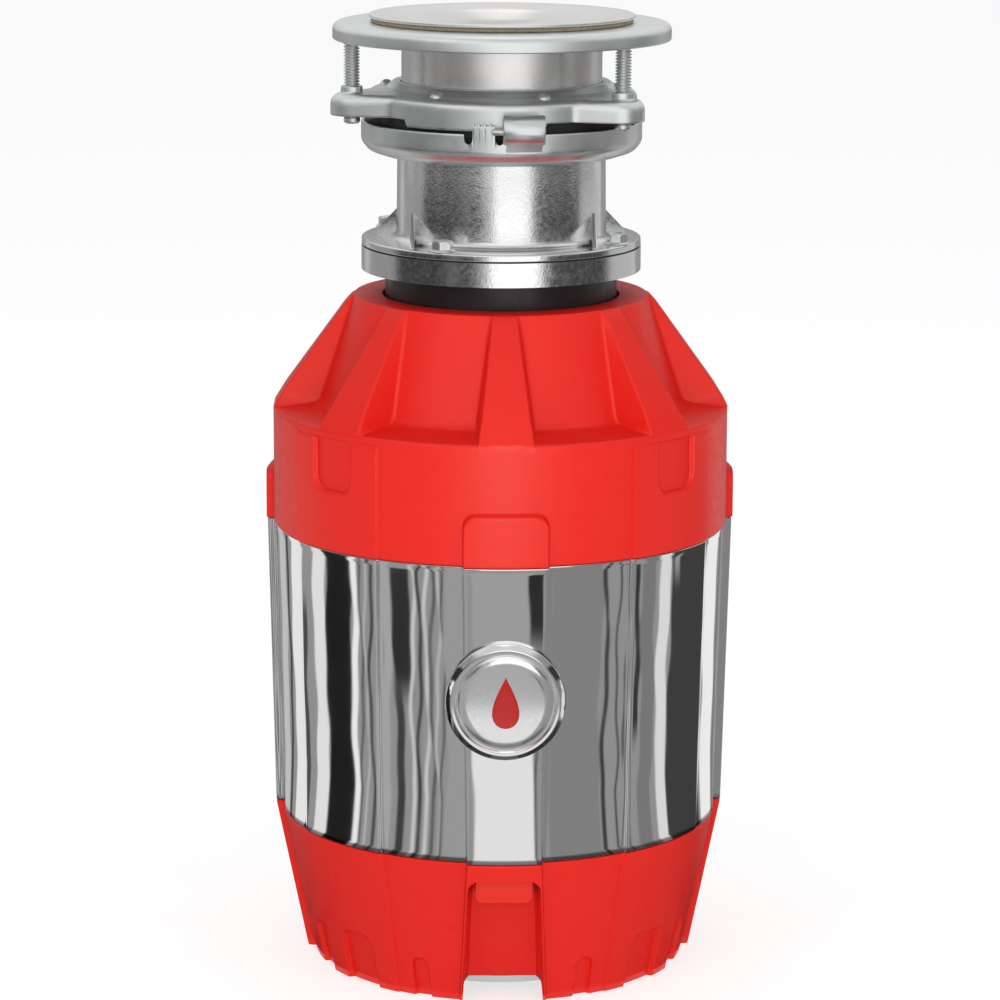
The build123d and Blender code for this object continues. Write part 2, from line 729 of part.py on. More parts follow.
def rib_bodies(inset):
    """Eight sloping ribs of the dome: a radial outline met by a tapered front outline."""
    top = DOME_TOP - inset
    with BuildPart() as rib:
        with BuildSketch(Plane.YZ):
            with BuildLine():
                Polyline((-50, 240), (-50, top), (-63.6 + inset, top), (-66.6 + inset, top - 2.6))
                Polyline((-66.6 + inset, top - 2.6), (-92.7 + inset, 256.7), (-96.4 + inset, 251.6),
                         (-98.6 + inset, LEDGE - 0.8), (-98.6 + inset, 240), (-50, 240))
            make_face()
        extrude(amount=14, both=True)
        with BuildSketch(Plane.XZ):
            Polygon((-11.4 + inset, 238), (11.4 - inset, 238), (4.9 - inset, DOME_TOP),
                    (-4.9 + inset, DOME_TOP), align=None)
        extrude(amount=REACH, mode=Mode.INTERSECT)
    with BuildPart() as ribs:
        for turn in range(RIB_COUNT):
            add(rib.part.rotate(Axis.Z, turn * 360 / RIB_COUNT))
    return ribs


def dome(inset):
    """The round dome between the ribs, with its ledge, down to the top of the wall."""
    slope = inset * 1.1
    return turned(
        (0, 230), (WALL_RADIUS - inset, 230), (WALL_RADIUS - inset, LEDGE - 1.2 - inset),
        (WALL_RADIUS - 1.2 - inset, LEDGE - inset), (83.5 - slope, 248.6 - inset),
        (80.2 - slope, 250.2 - inset), (78.6 - slope, 253.4 - inset),
        (63.9 - slope, DOME_TOP - inset), (0, DOME_TOP - inset),
    )


def front_slots():
    """Round-cornered shallow pockets in the panels under the diagonal ribs."""
    with BuildPart() as pockets:
        for middle in PANEL_AZIMUTHS:
            with BuildSketch(facing(middle, WALL_RADIUS - POCKET_DEPTH)):
                with Locations((0, POCKET_LOW + POCKET_HEIGHT / 2)):
                    RectangleRounded(POCKET_WIDTH, POCKET_HEIGHT, POCKET_CORNER)
            extrude(amount=12)
    return pockets


def make_upper_shell():
    """Red upper shell: eight-ribbed dome, skirt with panels and four tabs over the band."""
    inner_dome, outer_dome = dome(SHELL_WALL), dome(0)
    inner_ribs, outer_ribs = rib_bodies(SHELL_WALL), rib_bodies(0)
    panels = part_of_round(BAND_TOP, LEDGE - 0.6, WALL_RADIUS + PANEL_STEP,
                           WALL_RADIUS + PANEL_STEP, panel_slices(BAND_TOP, LEDGE))
    with BuildPart() as tab_slabs:
        for azimuth in BAND_AZIMUTHS:
            with BuildSketch(facing(azimuth)):
                with Locations((0, TAB_TOP - TAB_HEIGHT / 2)):
                    RectangleRounded(TAB_WIDTH, TAB_HEIGHT, TAB_CORNER)
            extrude(amount=REACH)
        with Locations((0, 0, BAND_TOP)):
            Box(3 * REACH, 3 * REACH, 60, align=BASE, mode=Mode.INTERSECT)
    tabs = part_of_round(BAND_TOP, LEDGE, WALL_RADIUS + BAND_STEP, WALL_RADIUS + BAND_STEP,
                         tab_slabs)
    pockets = front_slots()
    with BuildPart() as piece:
        with Locations((0, 0, BAND_TOP)):
            Cylinder(WALL_RADIUS, 40, align=BASE)
        add(outer_dome.part)
        add(outer_ribs.part)
        add(panels.part)
        add(pockets.part, mode=Mode.SUBTRACT)
        add(tabs.part)
        with Locations((0, 0, BAND_TOP - 1)):
            Cylinder(WALL_RADIUS - SHELL_WALL, 45, align=BASE, mode=Mode.SUBTRACT)
        add(inner_dome.part, mode=Mode.SUBTRACT)
        add(inner_ribs.part, mode=Mode.SUBTRACT)
        # liner inside the chrome band, joined to the wall by a shelf
        with BuildSketch(Plane.XZ):
            Polygon((LINER_RADIUS - 2.6, LINER_SEAM + 0.3), (LINER_RADIUS, LINER_SEAM + 0.3),
                    (LINER_RADIUS, BAND_TOP + 0.4), (WALL_RADIUS - 1, BAND_TOP + 0.4),
                    (WALL_RADIUS - 1, BAND_TOP + 3.2), (LINER_RADIUS - 2.6, BAND_TOP + 3.2),
                    align=None)
        revolve(axis=Axis.Z)
        # neck opening, and the outlet opening behind
        with Locations((0, 0, 280)):
            Cylinder(51.4, 30, align=BASE, mode=Mode.SUBTRACT)
        with Locations(Plane.XZ.offset(-50)):
            with Locations((0, PORT_HEIGHT)):
                Cylinder(PORT_RADIUS + 1.2, 70, align=(Align.CENTER, Align.CENTER, Align.MAX),
                         mode=Mode.SUBTRACT)
    return piece


def make_chrome_band():
    """Polished band round the waist: a drafted round with four bands and four panels."""
    low, high = BAND_BOTTOM + 0.25, BAND_TOP - 0.25
    bands = part_of_round(low, high, BAND_RADIUS_LOW + BAND_STEP, BAND_RADIUS_HIGH + BAND_STEP,
                          band_slabs(low, high, BAND_HALF_LOW, BAND_HALF_HIGH))
    panels = part_of_round(low, high, BAND_RADIUS_LOW + PANEL_STEP, BAND_RADIUS_HIGH + PANEL_STEP,
                           panel_slices(low, high))
    with BuildPart() as piece:
        with Locations((0, 0, low)):
            Cone(BAND_RADIUS_LOW, BAND_RADIUS_HIGH, high - low, align=BASE)
        add(bands.part)
        add(panels.part)
        with Locations((0, 0, low)):
            Cone(BAND_RADIUS_LOW - 1.5, BAND_RADIUS_HIGH - 1.5, high - low, align=BASE,
                 mode=Mode.SUBTRACT)
    return piece


def scallops():
    """Shallow arched recesses round the foot of the lower shell."""
    with BuildPart() as cuts:
        for middle, half, top, depth in FOOT_RECESSES:
            for azimuth in (middle, -middle):
                turn = math.radians(azimuth)
                radius = BASE_RADIUS + PANEL_STEP - depth
                face = Plane(origin=(*around(radius, azimuth), 0),
                             x_dir=(math.cos(turn), math.sin(turn), 0),
                             z_dir=(math.sin(turn), -math.cos(turn), -BASE_DRAFT))
                width = 2 * radius * math.sin(math.radians(half))
                corner = min(width / 2.2, 5.0)
                with BuildSketch(face):
                    with Locations((0, top / 2 - 10)):
                        RectangleRounded(width, top + 20, corner)
                extrude(amount=12)
    return cuts


def cord_recess(grow):
    """The front recess, wider and deeper towards the floor; grow adds the wall round it."""
    with BuildPart() as recess:
        with BuildSketch(Plane.YZ):
            Polygon((-110, RECESS_TOP + grow), (grow - RECESS_BACK_TOP, RECESS_TOP + grow),
                    (grow - RECESS_BACK_FOOT, -1), (-110, -1), align=None)
        extrude(amount=40, both=True)
        with BuildSketch(Plane.XZ):
            Polygon((-RECESS_HALF_FOOT - grow, -1), (RECESS_HALF_FOOT + grow, -1),
                    (RECESS_HALF_TOP + grow, RECESS_TOP + grow),
                    (-RECESS_HALF_TOP - grow, RECESS_TOP + grow), align=None)
        extrude(amount=REACH, mode=Mode.INTERSECT)
    return recess


def make_lower_shell():
    """Red lower shell: drafted skirt with bands, panels, foot recesses and the cord recess."""
    low, high = 0, BAND_BOTTOM - 0.05
    top_radius = BAND_RADIUS_LOW + 0.1
    bands = part_of_round(low, high, BASE_RADIUS + BAND_STEP, top_radius + BAND_STEP,
                          band_slabs(low, high, SKIRT_BAND_HALF_FOOT, SKIRT_BAND_HALF_TOP))
    panels = part_of_round(low, high, BASE_RADIUS + PANEL_STEP, top_radius + PANEL_STEP,
                           panel_slices(low, high))
    cuts = scallops()
    recess, recess_wall = cord_recess(0), cord_recess(2.6)
    with BuildPart() as inside:
        with Locations((0, 0, -1)):
            Cone(BASE_RADIUS - SHELL_WALL - 0.2, top_radius - SHELL_WALL - 0.2, high + 1.5,
                 align=BASE)
        add(recess_wall.part, mode=Mode.SUBTRACT)
    with BuildPart() as piece:
        with Locations((0, 0, low)):
            Cone(BASE_RADIUS, top_radius, high - low, align=BASE)
        add(panels.part)
        add(cuts.part, mode=Mode.SUBTRACT)
        add(bands.part)
        add(inside.part, mode=Mode.SUBTRACT)
        add(recess.part, mode=Mode.SUBTRACT)
        # back wall of the recess ends above the floor
        with Locations((0, -66, -1)):
            Box(30, 22, 9, align=BASE, mode=Mode.SUBTRACT)
        # slot through the back wall where the cord passes
        with BuildSketch(Plane.XZ.offset(70)):
            with Locations((0, CORD_SLOT_MIDDLE)):
                RectangleRounded(CORD_SLOT_WIDTH, CORD_SLOT_HEIGHT, CORD_SLOT_CORNER)
        extrude(amount=16, mode=Mode.SUBTRACT)
        # liner inside the chrome band
        with BuildSketch(Plane.XZ):
            Polygon((LINER_RADIUS - 2.6, 62), (LINER_RADIUS, 62), (LINER_RADIUS, LINER_SEAM),
                    (LINER_RADIUS - 2.6, LINER_SEAM), align=None)
        revolve(axis=Axis.Z)
        # screw posts for the base plate
        with BuildSketch(Plane.XY.offset(PLATE_LOW + 3.1)):
            for azimuth in POST_AZIMUTHS:
                with Locations(around(POST_CIRCLE, azimuth)):
                    Circle(4.0)
                with Locations(Location((*around(78.2, azimuth), 0), (0, 0, azimuth - 90))):
                    Rectangle(9.2, 4)
        extrude(amount=14)
        with BuildSketch(Plane.XY.offset(PLATE_LOW + 3)):
            for azimuth in POST_AZIMUTHS:
                with Locations(around(POST_CIRCLE, azimuth)):
                    Circle(1.7)
        extrude(amount=12, mode=Mode.SUBTRACT)
    return piece


def badge_plane(lift):
    """A plane on the sloping front band, lifted outwards."""
    middle = 138.8
    share = (middle - BAND_BOTTOM) / (BAND_TOP - BAND_BOTTOM)
    radius = BAND_RADIUS_LOW + (BAND_RADIUS_HIGH - BAND_RADIUS_LOW) * share + BAND_STEP
    slope = (BAND_RADIUS_HIGH - BAND_RADIUS_LOW) / (BAND_TOP - BAND_BOTTOM)
    normal = Vector(0, -1, -slope).normalized()
    return Plane(origin=Vector(0, -radius, middle) + normal * lift, x_dir=(1, 0, 0), z_dir=normal)


def make_badge():
    """Round bright boss: a curved bevel round a shallow recess for the enamel."""
    with BuildPart() as piece:
        with BuildSketch(badge_plane(-2.2)):
            Circle(25.7)
        extrude(amount=7.4)
        chamfer(piece.faces().sort_by(Axis.Y)[0].edges(), length=2.6, length2=4.2)
        band = Cone(BAND_RADIUS_LOW + BAND_STEP + 0.03, BAND_RADIUS_HIGH + BAND_STEP + 0.03,
                    BAND_TOP - BAND_BOTTOM, align=BASE, mode=Mode.PRIVATE)
        add(band.moved(Location((0, 0, BAND_BOTTOM))), mode=Mode.SUBTRACT)
        with BuildSketch(badge_plane(4.2)):
            Circle(20.6)
        extrude(amount=3, mode=Mode.SUBTRACT)
    return piece


def make_badge_inlay():
    """Enamel centre of the boss, a plain domed disc."""
    with BuildPart() as piece:
        with BuildSketch(badge_plane(4.25)):
            Circle(20.4)
        extrude(amount=1.1)
        chamfer(piece.faces().sort_by(Axis.Y)[0].edges(), length=0.4)
    return piece


def make_base_plate():
    """Pressed floor: a flat pan level with the foot and a raised rim screwed to the posts."""
    recess_wall = cord_recess(3.2)
    with BuildPart() as piece:
        add(turned((0, 0), (PAN_RADIUS, 0), (PAN_RADIUS, PLATE_LOW), (79.6, PLATE_LOW),
                   (79.6, PLATE_LOW + 2.4), (PAN_RADIUS - 2, PLATE_LOW + 2.4),
                   (PAN_RADIUS - 2, PAN_TOP), (0, PAN_TOP)).part)
        add(recess_wall.part, mode=Mode.SUBTRACT)
        with BuildSketch(Plane.XY.offset(-1)):
            with Locations(RESET_PLACE):
                Circle(5.4)
            for azimuth in POST_AZIMUTHS:
                with Locations(around(POST_CIRCLE, azimuth)):
                    Circle(1.9)
            with Locations(around(CABLE_CIRCLE, CABLE_AZIMUTH)):
                Circle(8.6)
        extrude(amount=14, mode=Mode.SUBTRACT)
    return piece


def make_base_screws():
    """Four screws that hold the floor to the posts."""
    with BuildPart() as piece:
        for azimuth in POST_AZIMUTHS:
            with Locations((*around(POST_CIRCLE, azimuth), PLATE_LOW - 2.2)):
                Cylinder(3.0, 2.1, align=BASE)
                Cylinder(1.6, 13, align=BASE)
    return piece


def make_overload_protector():
    """Thermal cut-out over the reset opening."""
    with BuildPart() as piece:
        with Locations((*RESET_PLACE, PAN_TOP + 0.1)):
            Box(26, 20, 22, align=BASE)
            Cylinder(5.3, 9, align=BASE, mode=Mode.SUBTRACT)
    return piece


def make_reset_button():
    """Red button flush with the floor, pushed up to reset the cut-out."""
    with BuildPart() as piece:
        with Locations((*RESET_PLACE, 0.4)):
            Cylinder(5.0, 7.0, align=BASE)
        fillet(piece.faces().sort_by(Axis.Z)[0].edges(), radius=0.8)
    return piece


def make_cable_entry():
    """Strain-relief nipple in the raised rim of the floor, where the supply enters."""
    with BuildPart() as piece:
        with Locations((*around(CABLE_CIRCLE, CABLE_AZIMUTH), PLATE_LOW - 3.0)):
            Cylinder(10.6, 2.9, align=BASE)
            Cylinder(8.5, 16, align=BASE)
            Cylinder(CABLE_BORE, 20, align=BASE, mode=Mode.SUBTRACT)
    return piece


def make_terminal_block():
    """Terminals that the supply wires join."""
    with BuildPart() as piece:
        with Locations((-24, -6, PAN_TOP + 0.1)):
            Box(30, 16, 14, align=BASE)
        with Locations((-24, -6, PAN_TOP + 14.1)):
            with GridLocations(10, 1, 3, 1):
                Cylinder(3.0, 5, align=(Align.CENTER, Align.CENTER, Align.MAX),
                         mode=Mode.SUBTRACT)
    return piece


def make_earth_screw():
    """Earthing screw in the floor."""
    with BuildPart() as piece:
        with Locations((22, -10, PAN_TOP + 0.1)):
            Cylinder(4.0, 3.0, align=BASE)
    return piece


def make_motor_cradle():
    """Rubber ring that steadies the foot of the motor on the floor."""
    foot = PAN_TOP + 0.1
    return turned((44, foot), (52, foot), (66, 70), (66, 97.6), (58, 97.6), (58, 72))


save("sink_flange", make_sink_flange())
save("fibre_gasket", make_fibre_gasket())
save("backup_flange", make_backup_flange())
save("mounting_ring", make_mounting_ring())
save("snap_ring", make_snap_ring())
for number, azimuth in enumerate(SCREW_AZIMUTHS, start=1):
    save(f"mounting_screw_{number}", make_mounting_screw(azimuth))
save("clamp_ring", make_clamp_ring())
save("rubber_mount", make_rubber_mount())
save("splash_guard", make_splash_guard())
save("hopper", make_hopper())
save("hopper_bolts", make_hopper_bolts())
save("chamber_gasket", make_chamber_gasket())
save("grind_ring", make_grind_ring())
save("drain_chamber", make_drain_chamber())
save("neck_collar", make_neck_collar())
save("shaft_seal", washer(SHAFT_RADIUS + FIT, 10.2, 252.0, 259.0))
save("drain_gasket", make_drain_gasket())
save("drain_flange", make_drain_flange())
save("drain_screws", make_drain_screws())
save("discharge_elbow", make_discharge_elbow())
save("turntable", make_turntable())
save("turntable_nut", make_turntable_nut())
save("impeller_a", make_impeller(1))
save("impeller_b", make_impeller(-1))
save("impeller_pins", make_impeller_pins())
save("motor_shaft", make_motor_shaft())
save("upper_bearing", bearing(238.0, 245.5))
save("lower_bearing", bearing(103.5, 111.0))
save("upper_end_bell", end_bell(CAN_HIGH + 0.1, 247.7, 237.9, 247.7))
save("lower_end_bell", end_bell(102.0, CAN_LOW - 0.1, 103.4, CAN_LOW - 0.1))
save("motor_can", washer(CAN_RADIUS - 2.6, CAN_RADIUS, CAN_LOW, CAN_HIGH))
save("motor_bolts", make_motor_bolts())
save("magnets", make_magnets())
save("armature_core", make_armature_core())
save("windings", make_windings())
save("commutator", make_commutator())
save("brushes", boxes_beside_shaft(16.3, 28.8, 6.2, 115.0, 122.0))
save("brush_springs", make_brush_springs())
save("brush_holders", make_brush_holders())
save("upper_shell", make_upper_shell())
save("chrome_band", make_chrome_band())
save("lower_shell", make_lower_shell())
save("badge", make_badge())
save("badge_inlay", make_badge_inlay())
save("base_plate", make_base_plate())
save("base_screws", make_base_screws())
save("overload_protector", make_overload_protector())
save("reset_button", make_reset_button())
save("cable_entry", make_cable_entry())
save("terminal_block", make_terminal_block())
save("earth_screw", make_earth_screw())
save("motor_cradle", make_motor_cradle())
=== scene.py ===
import json
import math

import bmesh
import bpy
import numpy as np
from mathutils import Matrix, Vector

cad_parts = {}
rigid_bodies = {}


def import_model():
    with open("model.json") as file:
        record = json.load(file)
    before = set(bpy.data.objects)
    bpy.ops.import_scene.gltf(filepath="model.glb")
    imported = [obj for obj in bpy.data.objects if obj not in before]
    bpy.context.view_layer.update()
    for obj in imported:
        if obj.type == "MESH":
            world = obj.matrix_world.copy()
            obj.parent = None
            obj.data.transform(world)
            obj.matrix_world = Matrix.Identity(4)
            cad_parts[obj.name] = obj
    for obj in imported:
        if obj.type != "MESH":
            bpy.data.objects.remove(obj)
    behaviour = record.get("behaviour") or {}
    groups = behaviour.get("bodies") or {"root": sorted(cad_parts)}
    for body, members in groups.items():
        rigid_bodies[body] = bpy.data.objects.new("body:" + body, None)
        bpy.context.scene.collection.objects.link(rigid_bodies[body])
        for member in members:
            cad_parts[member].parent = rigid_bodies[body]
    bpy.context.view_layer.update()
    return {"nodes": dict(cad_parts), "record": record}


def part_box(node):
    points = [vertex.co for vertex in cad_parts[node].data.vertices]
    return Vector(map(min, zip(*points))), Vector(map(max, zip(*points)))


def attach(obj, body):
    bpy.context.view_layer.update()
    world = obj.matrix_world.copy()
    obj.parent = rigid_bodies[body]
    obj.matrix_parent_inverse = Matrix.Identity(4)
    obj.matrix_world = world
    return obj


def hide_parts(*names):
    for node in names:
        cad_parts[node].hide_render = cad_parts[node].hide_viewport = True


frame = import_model()
nodes = frame["nodes"]
MM = 0.001


# ------------------------------------------------------------------ sizes from the frame, in mm

def low(node):
    """Lowest corner of a CAD node, in millimetres."""
    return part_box(node)[0] / MM


def high(node):
    """Highest corner of a CAD node, in millimetres."""
    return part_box(node)[1] / MM


DOME_TOP = high("upper_shell").z
BAND_TOP = high("chrome_band").z + 0.25
BAND_BOTTOM = low("chrome_band").z - 0.25
BAND_STEP = 3.4
PANEL_STEP = 0.9
WALL_RADIUS = high("upper_shell").x - BAND_STEP
BAND_RADIUS_HIGH = high("chrome_band").x - BAND_STEP
BAND_RADIUS_LOW = 95.9
BAND_DRAFT = 2.85 / (BAND_TOP - BAND_BOTTOM)
BAND_HALF_HIGH, BAND_HALF_LOW = 17.4, 15.5
FOOT_RADIUS = 81.9
FOOT_DRAFT = (BAND_RADIUS_LOW - FOOT_RADIUS) / BAND_BOTTOM
PANEL_FROM, PANEL_TO = 32.6, 61.4
SIDE_BAND = 99.5
BAND_AZIMUTHS = (0, SIDE_BAND, 180, -SIDE_BAND)
LEDGE = 246.8
NECK_OPENING, DOME_EDGE = 51.4, 63.9
RIB_TOP_HALF, RIB_FOOT_HALF = 4.9, 11.4
PORT_HEIGHT, PORT_OPENING = 272.0, 19.2
TAB_HALF, TAB_LOW, TAB_TOP, TAB_CORNER = 17.7, 180.0, 217.7, 6.0
POCKET_AZIMUTH, POCKET_HALF, POCKET_LOW, POCKET_TOP, POCKET_CORNER = 47.0, 11.5, 221.2, 262.0, 6.5


# ------------------------------------------------------------------ camera

def placed(name, data):
    """A new object that holds some data, linked into the scene."""
    made = bpy.data.objects.new(name, data)
    bpy.context.scene.collection.objects.link(made)
    return made


def add_camera():
    """A long-lens view from above the object's top, looking down twelve degrees."""
    distance, height, pitch, turn, roll = 1.665, 0.557, 12.0, -1.5, 0.25
    data = bpy.data.cameras.new("camera")
    data.lens = 139.25
    data.sensor_width = 36.0
    camera = placed("camera", data)
    angle = math.radians(turn)
    camera.location = (distance * math.sin(angle), -distance * math.cos(angle), height)
    look = Matrix.Rotation(angle, 4, "Z") @ Matrix.Rotation(math.radians(90 - pitch), 4, "X")
    camera.rotation_euler = (look @ Matrix.Rotation(math.radians(roll), 4, "Z")).to_euler()
    bpy.context.scene.camera = camera


# ------------------------------------------------------------------ material helpers

class Recipe:
    """A principled material and short calls for the nodes that vary it."""

    def __init__(self, name, color, metallic=0.0, roughness=0.5, **sockets):
        self.material = bpy.data.materials.new(name)
        self.material.use_nodes = True
        self.tree = self.material.node_tree
        self.shader = self.tree.nodes["Principled BSDF"]
        self.set("Base Color", (*color, 1.0))
        self.set("Metallic", metallic)
        self.set("Roughness", roughness)
        for socket, value in sockets.items():
            self.set(socket.replace("_", " "), value)
        self.place = self.node("ShaderNodeTexCoord").outputs["Object"]
        self.height = None

    def set(self, socket, value):
        self.shader.inputs[socket].default_value = value

    def node(self, kind, **values):
        node = self.tree.nodes.new(kind)
        for key, value in values.items():
            setattr(node, key, value)
        return node

    def link(self, output, socket):
        self.tree.links.new(output, socket)

    def stretched(self, x, y, z):
        """Object coordinates scaled along each axis."""
        mapping = self.node("ShaderNodeMapping")
        mapping.inputs["Scale"].default_value = (x, y, z)
        self.link(self.place, mapping.inputs["Vector"])
        return mapping.outputs["Vector"]

    def noise(self, scale, detail=3.0, rough=0.55, where=None):
        """Noise of a given scale per metre."""
        node = self.node("ShaderNodeTexNoise")
        node.inputs["Scale"].default_value = scale
        node.inputs["Detail"].default_value = detail
        node.inputs["Roughness"].default_value = rough
        self.link(where or self.place, node.inputs["Vector"])
        return node.outputs["Fac"]

    def cells(self, scale):
        """Distance to the nearest cell point, per metre."""
        node = self.node("ShaderNodeTexVoronoi")
        node.inputs["Scale"].default_value = scale
        self.link(self.place, node.inputs["Vector"])
        return node.outputs["Distance"]

    def spread(self, value, from_low, from_high, to_low, to_high):
        """A value mapped from one range onto another."""
        node = self.node("ShaderNodeMapRange")
        for key, number in (("From Min", from_low), ("From Max", from_high),
                            ("To Min", to_low), ("To Max", to_high)):
            node.inputs[key].default_value = number
        self.link(value, node.inputs["Value"])
        return node.outputs["Result"]

    def tint(self, value, first, second):
        """Base colour that runs between two colours with a value."""
        node = self.node("ShaderNodeMix", data_type="RGBA")
        node.inputs[6].default_value = (*first, 1.0)
        node.inputs[7].default_value = (*second, 1.0)
        self.link(value, node.inputs["Factor"])
        self.link(node.outputs[2], self.shader.inputs["Base Color"])
        return self

    def sheen_of(self, value, rough_low, rough_high):
        """Roughness that varies with a value."""
        self.link(self.spread(value, 0.3, 0.7, rough_low, rough_high),
                  self.shader.inputs["Roughness"])
        return self

    def relief(self, value, depth_mm, strength=1.0):
        """Surface relief of a depth in millimetres, stacked on any before it."""
        bump = self.node("ShaderNodeBump")
        bump.inputs["Distance"].default_value = depth_mm * MM
        bump.inputs["Strength"].default_value = strength
        self.link(value, bump.inputs["Height"])
        if self.height is not None:
            self.link(self.height, bump.inputs["Normal"])
        self.height = bump.outputs["Normal"]
        self.link(self.height, self.shader.inputs["Normal"])
        return self


def make_materials():
    """Every finish, by the record's material slot."""
    made = {}

    red = Recipe("red_plastic", (0.66, 0.006, 0.003), roughness=0.40,
                 Specular_IOR_Level=0.42, Specular_Tint=(1.0, 0.86, 0.70, 1.0))
    red.tint(red.noise(9, 2), (0.63, 0.005, 0.003), (0.69, 0.008, 0.004))
    red.sheen_of(red.noise(260, 3), 0.36, 0.47)
    red.relief(red.noise(1500, 3, 0.6), 0.035, 0.8).relief(red.cells(900), 0.02, 0.6)
    made["red_plastic"] = red

    chrome = Recipe("chrome", (0.90, 0.895, 0.89), metallic=1.0, roughness=0.05)
    chrome.sheen_of(chrome.noise(40, 4), 0.035, 0.075)
    chrome.relief(chrome.noise(26, 1, where=chrome.stretched(1, 1, 0.25)), 0.16, 0.35)
    made["chrome"] = chrome

    zinc = Recipe("zinc_plate", (0.60, 0.63, 0.62), metallic=1.0, roughness=0.36)
    zinc.tint(zinc.noise(28, 4), (0.66, 0.70, 0.695), (0.78, 0.80, 0.79))
    zinc.sheen_of(zinc.noise(180, 5), 0.28, 0.40)
    zinc.relief(zinc.noise(900, 2, 0.55), 0.02, 0.5)
    made["zinc_plate"] = zinc

    steel = Recipe("stainless", (0.66, 0.64, 0.63), metallic=1.0, roughness=0.24)
    steel.tint(steel.noise(22, 3), (0.72, 0.695, 0.68), (0.82, 0.81, 0.80))
    steel.sheen_of(steel.noise(60, 4), 0.22, 0.34)
    steel.relief(steel.noise(420, 3, where=steel.stretched(0.1, 0.1, 4)), 0.02, 0.5)
    made["stainless"] = steel

    cast = Recipe("casting", (0.74, 0.74, 0.75), metallic=1.0, roughness=0.22)
    cast.tint(cast.noise(35, 4), (0.76, 0.76, 0.77), (0.88, 0.88, 0.88))
    cast.sheen_of(cast.noise(500, 3), 0.14, 0.27)
    cast.relief(cast.noise(1150, 2, 0.55), 0.08, 0.6).relief(cast.noise(300, 2), 0.08, 0.25)
    made["casting"] = cast

    fibre = Recipe("fibre", (0.30, 0.22, 0.14), roughness=0.85)
    fibre.tint(fibre.noise(900, 4), (0.17, 0.11, 0.07), (0.62, 0.52, 0.38))
    fibre.relief(fibre.noise(1300, 4, 0.7), 0.25)
    made["fibre"] = fibre

    iron = Recipe("iron", (0.22, 0.22, 0.23), metallic=1.0, roughness=0.5)
    iron.relief(iron.noise(60, 2, where=iron.stretched(0.05, 0.05, 20)), 0.1)
    made["iron"] = iron

    enamel = Recipe("enamel", (0.90, 0.90, 0.91), metallic=0.9, roughness=0.16, Coat_Weight=0.6)
    enamel.sheen_of(enamel.noise(500, 3), 0.12, 0.22)
    enamel.relief(enamel.noise(900, 3), 0.02)
    made["enamel"] = enamel

    # slot, colour, metallic, roughness, sheen (scale, detail, from, to), relief (scale, detail, mm)
    for slot, color, metallic, roughness, sheen, relief in (
            ("spring_steel", (0.45, 0.45, 0.46), 1, 0.35, (300, 4, 0.25, 0.45), (900, 3, 0.02)),
            ("black_rubber", (0.018, 0.018, 0.019), 0, 0.6, (120, 4, 0.48, 0.72), (700, 4, 0.05)),
            ("black_plastic", (0.016, 0.016, 0.018), 0, 0.38, (150, 4, 0.3, 0.5), (1200, 3, 0.03)),
            ("ferrite", (0.05, 0.05, 0.055), 0, 0.55, None, (800, 4, 0.06)),
            ("copper", (0.62, 0.24, 0.09), 1, 0.3, (200, 3, 0.22, 0.4), (500, 2, 0.08)),
            ("button_red", (0.55, 0.012, 0.008), 0, 0.25, None, (900, 2, 0.02)),
            ("green_screw", (0.03, 0.22, 0.06), 0, 0.35, None, (900, 2, 0.02))):
        plain = Recipe(slot, color, metallic, roughness)
        if sheen:
            plain.sheen_of(plain.noise(*sheen[:2]), *sheen[2:])
        plain.relief(plain.noise(*relief[:2]), relief[2])
        made[slot] = plain
    return {slot: recipe.material for slot, recipe in made.items()}


def floor_material():
    """Pale seamless studio floor."""
    recipe = Recipe("studio_floor", (0.40, 0.40, 0.40), roughness=0.85)
    recipe.relief(recipe.noise(30, 2), 0.05, 0.2)
    recipe.set("Emission Color", (1, 1, 1, 1))
    recipe.set("Emission Strength", 0.72)
    return recipe.material


# ------------------------------------------------------------------ mesh helpers

def piece(name, vertices, faces, slot, body="housing", replaces=(), sharp=40.0):
    """A mesh piece in millimetres that rides on a body and takes a slot's finish."""
    mesh = bpy.data.meshes.new(name)
    mesh.from_pydata([tuple(v) for v in np.asarray(vertices, float) * MM], [], faces)
    mesh.validate()
    tidy = bmesh.new()
    tidy.from_mesh(mesh)
    bmesh.ops.remove_doubles(tidy, verts=tidy.verts, dist=1e-6)
    bmesh.ops.recalc_face_normals(tidy, faces=tidy.faces)
    tidy.to_mesh(mesh)
    tidy.free()
    made = placed(name, mesh)
    mesh.shade_smooth()
    mesh.set_sharp_from_angle(angle=math.radians(sharp))
    made.data.materials.append(materials[slot])
    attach(made, body)
    if replaces:
        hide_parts(*replaces)
    return made


def grid_faces(rows, columns, close_rows=False, close_columns=True, start=0):
    """Quads of a grid of rows by columns."""
    faces = []
    for i in range(rows if close_rows else rows - 1):
        for j in range(columns if close_columns else columns - 1):
            here, above = i * columns, (i + 1) % rows * columns
            right = (j + 1) % columns
            faces.append((start + here + j, start + here + right, start + above + right,
                          start + above + j))
    return faces


def strip_faces(first, second, turns_first, turns_second):
    """Triangles between two closed rings of different counts, matched by their angles."""
    faces, i, j = [], 0, 0
    count_first, count_second = len(first), len(second)
    while i < count_first or j < count_second:
        next_first = turns_first[i + 1] if i + 1 < count_first else turns_first[0] + 360
        next_second = turns_second[j + 1] if j + 1 < count_second else turns_second[0] + 360
        if j >= count_second or (i < count_first and next_first <= next_second):
            faces.append((first[i % count_first], first[(i + 1) % count_first],
                          second[j % count_second]))
            i += 1
        else:
            faces.append((first[i % count_first], second[(j + 1) % count_second],
                          second[j % count_second]))
            j += 1
    return faces


